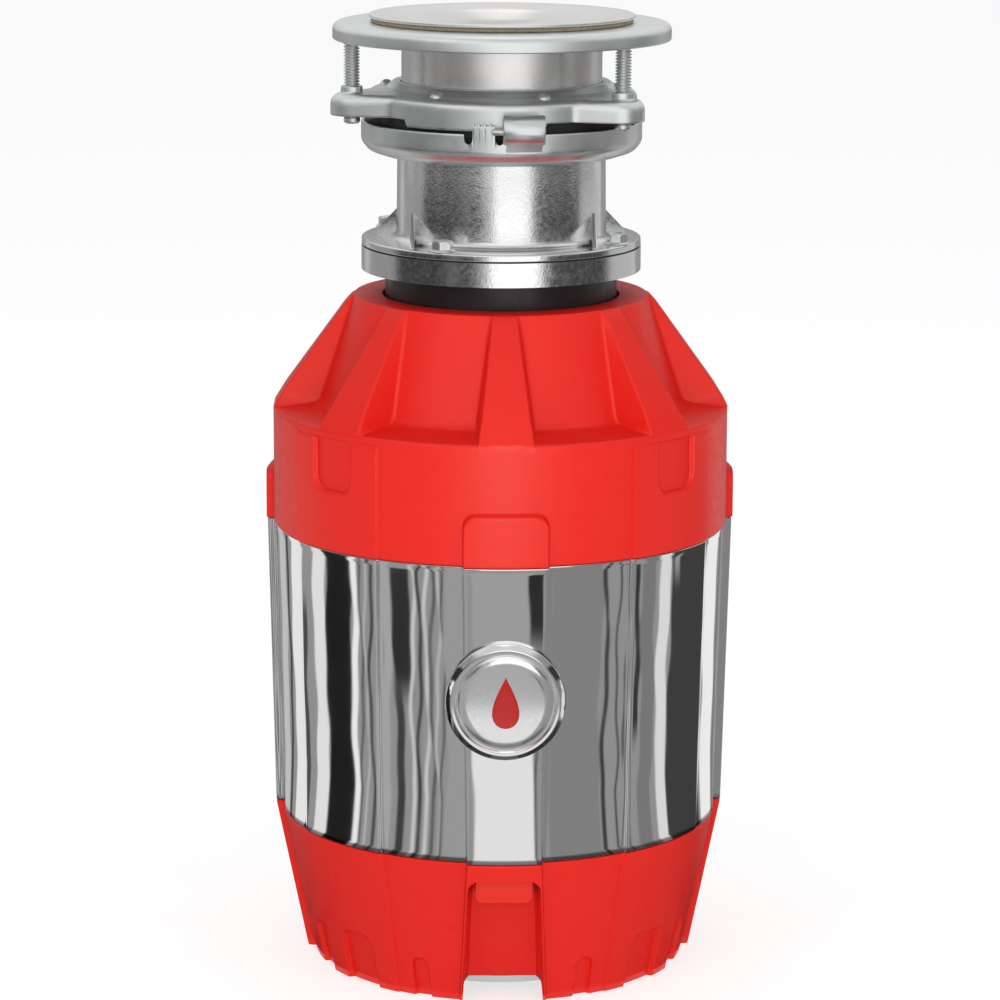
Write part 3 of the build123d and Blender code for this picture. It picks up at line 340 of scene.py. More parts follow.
def rounded(corners, radii, steps=6, close=False):
    """An outline with its corners rounded by arcs of given radii."""
    points = [np.array(c, float) for c in corners]
    count = len(points)
    outline = []
    for k, corner in enumerate(points):
        radius = radii[k] if k < len(radii) else 0
        if radius <= 0 or (not close and k in (0, count - 1)):
            outline.append(corner)
            continue
        before = points[k - 1] - corner
        after = points[(k + 1) % count] - corner
        reach_before, reach_after = np.linalg.norm(before), np.linalg.norm(after)
        before, after = before / reach_before, after / reach_after
        half = math.acos(np.clip(before @ after, -1, 1)) / 2
        setback = min(radius / math.tan(half), 0.45 * reach_before, 0.45 * reach_after)
        start, end = corner + before * setback, corner + after * setback
        inward = (before + after) / np.linalg.norm(before + after)
        centre = corner + inward * setback / math.cos(half)
        actual = setback * math.tan(half)
        first, last = start - centre, end - centre
        sweep = math.acos(np.clip(first @ last / actual ** 2, -1, 1))
        for step in range(steps + 1):
            share = step / steps
            blend = (math.sin((1 - share) * sweep) * first + math.sin(share * sweep) * last)
            outline.append(centre + blend / math.sin(sweep))
    return outline


def full_turn(segments):
    """Angles of a whole turn in equal steps, in radians."""
    return np.arange(segments) * 2 * math.pi / segments


def lathe(name, corners, radii, slot, segments=192, steps=6, **where):
    """A closed ring turned about the vertical axis from a rounded (radius, height) outline."""
    outline = rounded(corners, radii, steps, close=True)
    vertices = [(r * math.sin(t), -r * math.cos(t), z) for r, z in outline
                for t in full_turn(segments)]
    faces = grid_faces(len(outline), segments, close_rows=True)
    piece(name, vertices, faces, slot, **where)


def around(radius, azimuth):
    """Plan position at an azimuth in degrees from the front, positive to the right."""
    turn = math.radians(azimuth)
    return np.array((radius * math.sin(turn), -radius * math.cos(turn)))


def at_round(radius, azimuth, height):
    return (*around(radius, azimuth), height)


def soft_step(distance, width):
    """1 inside, 0 outside, with a rounded flank of a given width at distance zero."""
    share = np.clip(0.5 - distance / width, 0, 1)
    return share * share * (3 - 2 * share)


def box_distance(x, z, half_width, bottom, top, corner):
    """Signed distance in the unrolled surface to a rounded rectangle."""
    middle, half_height = (bottom + top) / 2, (top - bottom) / 2
    dx = np.abs(x) - half_width + corner
    dz = np.abs(z - middle) - half_height + corner
    outside = np.hypot(np.maximum(dx, 0), np.maximum(dz, 0))
    return outside + np.minimum(np.maximum(dx, dz), 0) - corner


def turn_from(azimuth, centre):
    """Difference of two azimuths, between -180 and 180 degrees."""
    return (azimuth - centre + 180) % 360 - 180


def azimuth_columns(edges, fine=0.09, coarse=0.9, reach=1.0):
    """Azimuths round the body, close together beside each listed edge."""
    azimuths, here = [], 0.0
    while here < 360:
        azimuths.append(here)
        gap = min(abs(turn_from(here, edge)) for edge in edges)
        here += fine if gap < reach else min(coarse, fine + (gap - reach) * 0.5)
    return np.array(azimuths)


def mirrored(*angles):
    """Angles repeated either side of the front and the back."""
    return [(middle + side * angle) % 360
            for middle in (0, 180) for side in (-1, 1) for angle in angles]


def beside_bands(half):
    """Azimuths a half angle either side of each band."""
    return [(middle + side * half) % 360 for middle in BAND_AZIMUTHS for side in (-1, 1)]


# ------------------------------------------------------------------ the red upper shell

def rib_section(pocket, rib, half_width):
    """Half of one rib and its pocket in plan, rounded where they meet."""
    draft = 1.1
    pocket_radius, rib_radius = pocket[0], rib[0]
    proud = rib_radius - pocket_radius > 0.35
    edge = half_width + (draft if proud else 0.4)
    foot = math.sqrt(pocket_radius ** 2 - edge ** 2)
    face = rib_radius if proud else math.sqrt(rib_radius ** 2 - half_width ** 2)
    knee = math.degrees(math.asin(edge / pocket_radius))
    start = math.radians(knee + (22.5 - knee) * 0.2)
    after = (pocket_radius * math.sin(start), pocket_radius * math.cos(start))
    bend = rounded([(0, face), (half_width, face), (edge, foot), after], [0, 1.0, 1.8, 0], 5)
    points = [(half_width * share, face if proud else math.sqrt(rib_radius ** 2
              - (half_width * share) ** 2)) for share in (0, 0.25, 0.5, 0.75)]
    points += [tuple(p) for p in bend[1:]]
    for share in (0.4, 0.6, 0.8, 1.0):
        turn = math.radians(knee + (22.5 - knee) * share)
        points.append((pocket_radius * math.sin(turn), pocket_radius * math.cos(turn)))
    mix = [np.clip((p[0] - half_width) / max(edge - half_width, 0.1), 0, 1) for p in points]
    return points, [rib[1] * (1 - m) + pocket[1] * m for m in mix]


def dome_rows():
    """Matching rows of the pocket outline and the rib outline, from the neck to the wall."""
    pocket = rounded([(NECK_OPENING, DOME_TOP - 3), (NECK_OPENING, DOME_TOP),
                      (DOME_EDGE, DOME_TOP), (79.6, 249.6),
                      (WALL_RADIUS, LEDGE), (WALL_RADIUS, LEDGE - 3)],
                     [0, 0.5, 1.0, 5.0, 1.6, 0], 7)
    spine = rounded([(DOME_EDGE, DOME_TOP), (66.0, DOME_TOP - 1.4), (93.4, 255.9),
                     (WALL_RADIUS - 0.2, LEDGE), (WALL_RADIUS, LEDGE - 3)], [0, 3, 12, 3, 0], 8)
    spine_heights = [-p[1] for p in spine]
    spine_radii = [p[0] for p in spine]
    dense = []
    for first, second in zip(pocket, pocket[1:]):
        count = max(1, int(np.linalg.norm(second - first) / 3.2))
        dense += [first + (second - first) * k / count for k in range(count)]
    dense.append(pocket[-1])
    knee_height, knee_radius = 253.6, 78.4
    rows = []
    for radius, height in dense:
        rib_height = height
        if radius > knee_radius and height < knee_height:
            share = (radius - knee_radius) / (WALL_RADIUS - knee_radius)
            tail = min(height, LEDGE)
            rib_height = min(knee_height + (tail - knee_height) * share ** 0.8, knee_height)
            rib_height = max(rib_height, height)
        if radius < DOME_EDGE - 0.4 or height <= LEDGE - 1.6:
            rows.append(((radius, height), (radius, height)))
        else:
            rib_radius = np.interp(-rib_height, spine_heights, spine_radii)
            rows.append(((radius, height), (max(rib_radius, radius), rib_height)))
    return rows


def panel_offset(azimuth, height, arc, flank):
    """How far the four raised panels stand out of a wall with a given arc per degree."""
    stands = np.zeros(np.broadcast(azimuth, height).shape)
    for middle in mirrored((PANEL_FROM + PANEL_TO) / 2):
        across = np.abs(turn_from(azimuth, middle)) - (PANEL_TO - PANEL_FROM) / 2
        stands = np.maximum(stands, PANEL_STEP * soft_step(across * arc, flank))
    return stands


def skirt_offset(azimuth, height):
    """How far the skirt stands out of the plain wall: panels, pockets and tabs."""
    arc = math.radians(1) * WALL_RADIUS
    pocket_depth = 2.0
    stands = panel_offset(azimuth, height, arc, 0.55)
    for middle in mirrored(POCKET_AZIMUTH):
        pocket = box_distance(turn_from(azimuth, middle) * arc, height, POCKET_HALF, POCKET_LOW,
                              POCKET_TOP, POCKET_CORNER)
        stands = stands - pocket_depth * soft_step(pocket, 0.9)
    for middle in BAND_AZIMUTHS:
        tab = box_distance(turn_from(azimuth, middle) * arc, height, TAB_HALF, TAB_LOW, TAB_TOP,
                           TAB_CORNER)
        stands = stands + (BAND_STEP - stands) * soft_step(tab, 1.3)
    return stands


def build_upper_shell():
    """The ribbed dome, its skirt and the inside wall as one closed moulding."""
    vertices = []
    rows = dome_rows()
    for pocket, rib in rows:
        share = np.clip((DOME_TOP - pocket[1]) / (DOME_TOP - LEDGE), 0, 1)
        half_width = RIB_TOP_HALF + (RIB_FOOT_HALF - RIB_TOP_HALF) * share
        points, heights = rib_section(pocket, rib, half_width)
        ring = []
        for sector in range(8):
            turn = math.radians(45 * sector)
            half = [(x, y, z) for (x, y), z in zip(points, heights)]
            whole = [(-x, y, z) for x, y, z in reversed(half[1:-1])] + half
            for x, y, z in whole:
                ring.append((x * math.cos(turn) + y * math.sin(turn),
                             x * math.sin(turn) - y * math.cos(turn), z))
        columns = len(ring)
        vertices += ring
        dome_turns = [math.degrees(math.atan2(x, -y)) for x, y, z in ring]
    faces = grid_faces(len(rows), columns)

    edges = mirrored(PANEL_FROM, PANEL_TO, POCKET_AZIMUTH - 6.6, POCKET_AZIMUTH + 6.6)
    azimuths = azimuth_columns(edges + beside_bands(10.2), reach=0.8, fine=0.12, coarse=0.6)
    heights = np.arange(LEDGE - 3.4, BAND_TOP + 0.5, -0.62)
    skirt = len(vertices)
    spread, tall = np.meshgrid(azimuths, heights)
    radii = WALL_RADIUS + skirt_offset(spread, tall)
    fade = np.clip((LEDGE - 2.8 - tall) / 1.0, 0.6, 1)
    radii = WALL_RADIUS + (radii - WALL_RADIUS) * fade
    for ring_radii, height in zip(radii, heights):
        vertices += [at_round(r, a, height) for r, a in zip(ring_radii, azimuths)]
    edge = WALL_RADIUS + skirt_offset(azimuths, BAND_TOP + 0.5)
    inside = [(-0.15, 0.15), (-0.5, 0.0)]
    for inset, lift in inside:
        vertices += [at_round(r + inset, a, BAND_TOP + lift) for r, a in zip(edge, azimuths)]
    lining = ((BAND_RADIUS_LOW, BAND_TOP), (BAND_RADIUS_LOW, 243.0), (76.5, 246.5),
              (60.6, DOME_TOP - 3))
    for radius, height in lining:
        vertices += [at_round(radius, a, height) for a in azimuths]
    rings = len(heights) + len(inside) + len(lining)
    faces += grid_faces(rings, len(azimuths), start=skirt)

    order = np.argsort(np.array(dome_turns) % 360)
    turns = (np.array(dome_turns) % 360)[order]
    last = (len(rows) - 1) * columns
    wide = skirt + np.arange(len(azimuths))
    faces += strip_faces([int(last + k) for k in order], [int(k) for k in wide],
                         list(turns), list(azimuths))
    final = skirt + (rings - 1) * len(azimuths) + np.arange(len(azimuths))
    faces += strip_faces([int(k) for k in order], [int(k) for k in final],
                         list(turns), list(azimuths))
    shell = piece("upper_shell_moulding", vertices, faces, "red_plastic",
                  replaces=("upper_shell",), sharp=50)
    port = [(PORT_OPENING * math.cos(t), PORT_HEIGHT + PORT_OPENING * math.sin(t))
            for t in full_turn(96)]
    cut_hole(shell, port, 50, 120)


def cut_hole(target, outline, near, far):
    """A hole of an (x, z) outline between two depths, cut with a prism that is then removed."""
    segments = len(outline)
    vertices = [(x * MM, y * MM, z * MM) for y in (near, far) for x, z in outline]
    faces = grid_faces(2, segments)
    faces += [tuple(range(segments)), tuple(range(2 * segments - 1, segments - 1, -1))]
    mesh = bpy.data.meshes.new("cutter")
    mesh.from_pydata(vertices, [], faces)
    cutter = placed("cutter", mesh)
    modifier = target.modifiers.new("hole", "BOOLEAN")
    modifier.operation = "DIFFERENCE"
    modifier.object = cutter
    apply_modifiers(target)
    bpy.data.objects.remove(cutter)
    target.data.shade_smooth()
    target.data.set_sharp_from_angle(angle=math.radians(50))


def apply_modifiers(target):
    """Replace a mesh by its evaluated form."""
    graph = bpy.context.evaluated_depsgraph_get()
    mesh = bpy.data.meshes.new_from_object(target.evaluated_get(graph))
    target.modifiers.clear()
    target.data = mesh


# ------------------------------------------------------------------ the chrome band

def banded_section(radius, half_width, round_band, round_panel, splits):
    """The banded outline in plan as (azimuth, radius), from the front band round to itself."""
    arc = math.radians(1) * radius
    flank, lip = 0.35, 0.25
    edge = half_width / math.cos(math.radians(5))
    half = []
    for start, end, first, last in ((0, SIDE_BAND, PANEL_FROM, PANEL_TO),
                                    (SIDE_BAND, 180, 180 - PANEL_TO, 180 - PANEL_FROM)):
        corners = [(start * arc, BAND_STEP), (start * arc + edge, BAND_STEP),
                   (start * arc + edge + flank, 0), (first * arc, 0),
                   (first * arc + lip, PANEL_STEP), (last * arc - lip, PANEL_STEP),
                   (last * arc, 0), (end * arc - edge - flank, 0), (end * arc - edge, BAND_STEP),
                   (end * arc, BAND_STEP)]
        radii = [0, round_band, round_band] + [round_panel] * 4 + [round_band, round_band, 0]
        outline = rounded(corners, radii, 5)
        for k, (near, far) in enumerate(zip(outline, outline[1:])):
            count = splits.setdefault((start, k), math.ceil(np.linalg.norm(far - near) / 1.6))
            half += [near + (far - near) * step / count for step in range(count)]
    half.append(np.array((180 * arc, BAND_STEP)))
    ring = [(s / arc, radius + h) for s, h in half]
    return ring[:-1] + [(360 - azimuth, r) for azimuth, r in reversed(ring[1:])]


def build_chrome_band():
    """The mirror band: four raised bands and four panels in one drafted sheet."""
    vertices = []
    top, bottom, sheet = BAND_TOP - 0.25, BAND_BOTTOM + 0.25, 1.4
    levels = [(bottom, -sheet), (bottom, -0.4), (bottom + 0.15, -0.1), (bottom + 0.5, 0)]
    levels += [(h, 0) for h in np.linspace(bottom + 3, top - 3, 28)]
    levels += [(top - 0.5, 0), (top - 0.15, -0.1), (top, -0.4), (top, -sheet)]
    splits = {}
    for height, inset in levels:
        drop = BAND_TOP - height
        radius = BAND_RADIUS_HIGH - BAND_DRAFT * drop
        narrowing = (BAND_HALF_HIGH - BAND_HALF_LOW) * drop / (BAND_TOP - BAND_BOTTOM)
        section = banded_section(radius, BAND_HALF_HIGH - narrowing, 0.7, 0.45, splits)
        vertices += [at_round(r + inset, a, height) for a, r in section]
    faces = grid_faces(len(levels), len(vertices) // len(levels), close_rows=True)
    piece("chrome_band_sheet", vertices, faces, "chrome", replaces=("chrome_band",), sharp=60)


# ------------------------------------------------------------------ the red lower shell

RECESS_TOP = 58.0
RECESS_TOP_HALF, RECESS_FOOT_HALF = 14.8, 17.2
RECESS_BACK_TOP, RECESS_BACK_FOOT = 83.5, 70.5
RECESS_CORNER, RECESS_LIFT = 5.5, 7.6
SLOT_HALF, SLOT_LOW, SLOT_TOP, SLOT_CORNER = 12, 47.5, 58.4, 3.2
SKIRT_BAND_FOOT, SKIRT_BAND_TOP = 18.4, 15.7
FOOT_RECESSES = (  # azimuth, half angle, top height, depth, corner
    (24.6, 2.5, 18.0, 2.1, 3.0), (46.6, 6.6, 24.3, 2.5, 7.0), (66.2, 4.4, 20.7, 2.1, 5.0),
    (133.4, 6.6, 24.3, 2.5, 7.0), (155.4, 2.5, 18.0, 2.1, 3.0))


def lower_offset(azimuth, height, band_half):
    """How far the lower skirt stands out: panels, foot recesses and the four bands."""
    arc = math.radians(1) * (FOOT_RADIUS + FOOT_DRAFT * height)
    well_below = -40
    stands = panel_offset(azimuth, height, arc, 0.6)
    for middle, half, top, depth, corner in FOOT_RECESSES:
        half_width = half * math.radians(FOOT_RADIUS)
        for centre in (middle, -middle):
            cut = box_distance(turn_from(azimuth, centre) * arc, height, half_width, well_below,
                               top, min(corner, half_width * 0.98))
            stands = stands - depth * soft_step(cut, 0.9)
    for middle in BAND_AZIMUTHS:
        across = np.abs(turn_from(azimuth, middle)) * arc - band_half
        stands = stands + (BAND_STEP - stands) * soft_step(across, 1.3)
    return stands


def build_lower_shell():
    """The red foot skirt with its bands, panels, foot recesses and the cord recess in front."""
    band_base, recess_base, sheet = 10.4, 8.0, 3.0
    edges = mirrored(PANEL_FROM, PANEL_TO) + beside_bands(band_base)
    for middle, half, *shape in FOOT_RECESSES:
        edges += [side * middle + end * half for side in (-1, 1) for end in (-1, 1)]
    base = azimuth_columns(edges, fine=0.13, coarse=0.62, reach=0.7)
    front = np.arange(-recess_base - 0.7, recess_base + 0.7, 0.15) % 360
    base = np.unique(np.round(np.concatenate([base, front]), 3))
    top = BAND_BOTTOM - 0.05
    heights = np.concatenate([np.arange(0.5, 45, 0.62), np.arange(45, RECESS_TOP + 1, 0.28),
                              np.arange(RECESS_TOP + 1.3, top - 0.4, 0.62)])[::-1]
    signed = turn_from(base, 0)
    vertices = []

    def knots(recess_edge, band_edge):
        """Azimuths of the recess, band and panel edges from the front round to the back."""
        return [0, recess_edge, band_edge, PANEL_FROM, PANEL_TO, SIDE_BAND - band_edge, SIDE_BAND,
                SIDE_BAND + band_edge, 180 - PANEL_TO, 180 - PANEL_FROM, 180 - band_edge, 180]

    def place(height, inset):
        """One ring of the shell at a height, moved inwards by an inset."""
        radius = FOOT_RADIUS + FOOT_DRAFT * height
        arc = math.radians(1) * radius
        band_half = SKIRT_BAND_FOOT - (SKIRT_BAND_FOOT - SKIRT_BAND_TOP) * height / top
        recess_half = RECESS_FOOT_HALF - (RECESS_FOOT_HALF - RECESS_TOP_HALF) * height / RECESS_TOP
        band_turn = band_half / arc
        recess_turn = min(recess_half / arc, band_turn - 0.55)
        azimuths = np.interp(np.abs(signed), knots(recess_base, band_base),
                             knots(recess_turn, band_turn)) * np.sign(signed)
        radii = radius + lower_offset(azimuths, height, band_half)
        across = np.abs(signed) / recess_base * recess_half
        inside = soft_step(box_distance(across, height, recess_half, -60, RECESS_TOP,
                                        RECESS_CORNER), 0.9)
        back = RECESS_BACK_FOOT + (RECESS_BACK_TOP - RECESS_BACK_FOOT) * height / RECESS_TOP
        radii = radii + (back / np.cos(np.radians(azimuths)) - radii) * inside + inset
        lifted = np.full(len(base), float(height))
        if height < RECESS_TOP:
            lifted += RECESS_LIFT * (1 - height / RECESS_TOP) * np.minimum(inside * 5, 1)
        vertices.extend(at_round(r, a, z) for r, a, z in zip(radii, azimuths, lifted))

    place(top, -sheet)
    place(top, -0.5)
    place(top - 0.15, -0.15)
    for height in heights:
        place(height, 0)
    place(0.15, -0.15)
    place(0.0, -0.5)
    for height in heights[::-9]:
        place(max(height - 0.5, 0), -sheet)
    rows = len(vertices) // len(base)
    shell = piece("lower_shell_moulding", vertices, grid_faces(rows, len(base), close_rows=True),
                  "red_plastic", replaces=("lower_shell",), sharp=50)
    slot = rounded([(-SLOT_HALF, SLOT_LOW), (SLOT_HALF, SLOT_LOW), (SLOT_HALF, SLOT_TOP),
                    (-SLOT_HALF, SLOT_TOP)], [SLOT_CORNER] * 4, 6, close=True)
    cut_hole(shell, slot, -92, -66)


# ------------------------------------------------------------------ sink flange and backing plate

def build_sink_flange():
    """Spun stainless flange with a rolled rim, its fibre washer and the backing plate."""
    rim, top = high("sink_flange").x, high("sink_flange").z
    sleeve_low = low("sink_flange").z
    lathe("sink_flange_spinning", [
        (rim - 1.6, top - 1.9), (rim, top - 1.6), (rim, top), (53.4, top - 0.25),
        (47.6, 414.6), (42.0, 408.0), (41.8, 400.0), (41.8, sleeve_low), (43.2, sleeve_low),
        (43.2, 380.4), (42.5, 380.9), (42.5, 383.1), (43.2, 383.6), (43.2, 404.0),
        (44.4, 409.2), (49.0, 413.6), (54.6, 414.8), (rim - 1.4, 414.9)],
        [0.4, 0.8, 0.9, 6, 7, 8, 3, 0.4, 0.4, 0.3, 0.3, 0.3, 0.3, 2, 4, 5, 3, 0.3], "stainless",
        segments=256, replaces=("sink_flange",), sharp=60)
    lathe("fibre_gasket_ring", [(53.4, 413.1), (56.3, 413.1), (56.3, 414.7), (53.4, 414.7)],
          [0.3, 0.6, 0.6, 0.3], "fibre", replaces=("fibre_gasket",))
    edge, plate_top = high("backup_flange").x, high("backup_flange").z
    plate_low = low("backup_flange").z
    lathe("backup_flange_pressing", [
        (44.4, 408.4), (49.0, plate_top), (edge, plate_top), (edge, plate_low),
        (edge - 1.5, plate_low), (edge - 1.5, 410.8), (50.0, 410.8), (46.0, 406.8)],
        [0.6, 3, 3.4, 0.7, 0.7, 1.6, 2, 0.6], "zinc_plate", segments=256, steps=8,
        replaces=("backup_flange",), sharp=60)


# ------------------------------------------------------------------ mounting ring, screws, clamp

SCREW_AZIMUTHS = (-72.5, 47.5, 167.5)
EAR_WINDOWS = (27.0, 30.5, 27.0)
SCREW_CIRCLE = 67.4
RING_RADIUS, EAR_TOP, EAR_BOTTOM, RAMP_BOTTOM = 58.2, 384.4, 375.0, 371.9


def ring_grid(radii, heights, azimuths):
    """Vertices and faces of a closed ring whose section varies with azimuth."""
    vertices = []
    for row_radii, row_heights in zip(radii, heights):
        vertices += [at_round(r, a, z) for r, z, a in zip(row_radii, row_heights, azimuths)]
    return vertices, grid_faces(len(radii), len(azimuths), close_rows=True)


def joined(meshes):
    """Several closed shells as one list of vertices and faces."""
    vertices, faces = [], []
    for some_vertices, some_faces in meshes:
        start = len(vertices)
        vertices += list(some_vertices)
        faces += [tuple(start + k for k in face) for face in some_faces]
    return vertices, faces


def turned_solid(outline, centre=(0, 0), segments=40, radius_of=None):
    """A closed solid turned about an upright axis; the outline starts and ends on the axis."""
    vertices = [(centre[0], centre[1], outline[0][1])]
    for r, z in outline[1:-1]:
        for t in full_turn(segments):
            reach = r if radius_of is None else radius_of(r, t, z)
            vertices.append((centre[0] + reach * math.cos(t), centre[1] + reach * math.sin(t), z))
    rows = len(outline) - 2
    vertices.append((centre[0], centre[1], outline[-1][1]))
    faces = grid_faces(rows, segments, start=1)
    last = len(vertices) - 1
    top = 1 + (rows - 1) * segments
    faces += [(0, 1 + (j + 1) % segments, 1 + j) for j in range(segments)]
    faces += [(last, top + j, top + (j + 1) % segments) for j in range(segments)]
    return vertices, faces


def turned_ring(outline, centre=(0, 0), segments=40):
    """A closed ring turned about an upright axis away from the middle."""
    vertices = [(centre[0] + r * math.cos(t), centre[1] + r * math.sin(t), z)
                for r, z in outline for t in full_turn(segments)]
    return vertices, grid_faces(len(outline), segments, close_rows=True)


def ear_reach(azimuths):
    """Plan outline of the mounting ring: a round with three broad ears, blended into it."""
    reach = np.full(len(azimuths), RING_RADIUS)
    shares = np.linspace(0, 1, 60)
    root_at, root_radius, tip_at, tip_radius = 44.0, 21.0, SCREW_CIRCLE - 0.5, 9.6
    middle = root_at + (tip_at - root_at) * shares
    radius = root_radius + (tip_radius - root_radius) * shares
    blend = 1.6
    for centre in SCREW_AZIMUTHS:
        turn = np.radians(turn_from(azimuths, centre))[:, None]
        inside = radius ** 2 - (middle * np.sin(turn)) ** 2
        along = np.where((inside > 0) & (np.cos(turn) > 0),
                         middle * np.cos(turn) + np.sqrt(np.maximum(inside, 0)), 0)
        ear = along.max(axis=1)
        mix = np.clip((ear - reach) / blend, -1, 1)
        reach = np.where(mix >= 1, ear, np.where(mix <= -1, reach, (ear + reach) / 2
                         + blend * (0.25 + 0.25 * mix * mix)))
    return reach


def build_mounting_ring():
    """Pressed ring with its sloping shoulder, three hollow ears, ramps, bosses and pips."""
    edges = [(a + side * window) % 360 for a, window in zip(SCREW_AZIMUTHS, EAR_WINDOWS)
             for side in (-1, 1)]
    azimuths = azimuth_columns(edges, fine=0.16, coarse=0.8, reach=2.2)
    reach = ear_reach(azimuths)
    past_window = np.min([np.abs(turn_from(azimuths, a)) - window
                          for a, window in zip(SCREW_AZIMUTHS, EAR_WINDOWS)], axis=0)
    share = soft_step(past_window * math.radians(1) * RING_RADIUS, 1.8)
    bottom = RAMP_BOTTOM + (EAR_BOTTOM - RAMP_BOTTOM) * share
    swell = np.clip((reach - RING_RADIUS) / 12, 0, 1)
    sheet = 1.9
    radii, heights = [], []

    def row(radius, height):
        radii.append(np.broadcast_to(radius, azimuths.shape))
        heights.append(np.broadcast_to(height, azimuths.shape))

    for radius, height in rounded([(43.5, 384.6), (43.5, 387.8), (46.6, 387.8), (49.6, 385.4),
                                   (53.4, EAR_TOP + 0.1)], [0, 0.8, 1.4, 2.4, 0], 5):
        row(radius, height)
    row(55.0, EAR_TOP)
    corner = 3.6 + 1.2 * swell
    for step in np.linspace(0.15, 0.85, 4):
        row(55.0 + (reach - corner - 55.0) * step, EAR_TOP)
    for turn in np.radians(np.linspace(0, 90, 11)):
        row(reach - corner + corner * math.sin(turn), EAR_TOP - corner * (1 - math.cos(turn)))
    for step in np.linspace(0.12, 0.92, 7):
        row(reach, EAR_TOP - corner + (bottom + 0.6 - EAR_TOP + corner) * step)
    row(reach, bottom + 0.5)
    row(reach - 0.15, bottom + 0.12)
    row(reach - 0.5, bottom)
    row(reach - sheet + 0.4, bottom)
    row(reach - sheet, bottom + 0.4)
    row(reach - sheet, 376.4)
    row(reach - sheet, EAR_TOP - corner)
    row(reach - corner, EAR_TOP - sheet)
    row(54.8, EAR_TOP - sheet)
    row(47.0, 385.2)
    row(44.6, 385.2)
    row(44.6, 384.2)
    shells = [ring_grid(radii, heights, azimuths)]
    for azimuth in SCREW_AZIMUTHS:
        boss = rounded([(3.75, 383.0), (5.9, 383.4), (4.7, 384.9), (4.6, 387.4), (3.75, 387.4)],
                       [0.1, 0.3, 1.2, 0.7, 0.4], 4, close=True)
        shells.append(turned_ring(boss, around(SCREW_CIRCLE, azimuth), 48))
    for azimuth in (-34, 19, 86, 139, 206, 259):
        pip = [(0, 383.6), (3.0, 383.6), (2.9, 385.0), (2.5, 385.9), (1.9, 386.6), (1.0, 387.1),
               (0, 387.2)]
        shells.append(turned_solid(pip, around(50.6, azimuth), 32))
    piece("mounting_ring_pressing", *joined(shells), "zinc_plate",
          replaces=("mounting_ring",), sharp=55)


def build_mounting_screws():
    """Three studs with a rolled thread that fades out at a chamfered foot and tip."""
    pitch, crest, root = 1.27, 3.5, 2.62
    foot, tip = low("mounting_screw_1").z, high("mounting_screw_1").z
    for number, azimuth in enumerate(SCREW_AZIMUTHS, 1):
        def thread(radius, turn, height):
            if radius < crest:
                return radius
            phase = (height / pitch - turn / (2 * math.pi)) % 1
            ridge = 1 - abs(2 * phase - 1)
            depth = min(max((ridge - 0.14) / 0.72, 0), 1)
            fade = min((height - foot - 2.2) / 1.0, (tip - 1.2 - height) / 1.0, 1)
            return crest - (crest - root) * (1 - depth) * max(fade, 0)

        outline = [(0, foot), (2.6, foot), (3.2, foot + 0.3), (crest, foot + 0.9)]
        outline += [(crest, h) for h in np.arange(foot + 1.2, tip - 1.3, pitch / 10)]
        outline += [(3.1, tip - 0.9), (2.4, tip - 0.25), (1.6, tip), (0, tip)]
        stud = turned_solid(outline, around(SCREW_CIRCLE, azimuth), 40, thread)
        name = f"mounting_screw_{number}"
        piece(name + "_threaded", *stud, "zinc_plate", body=f"screw_{number}",
              replaces=(name,), sharp=70)


CLAMP_RADIUS, CLAMP_TOP = 60.6, 371.0


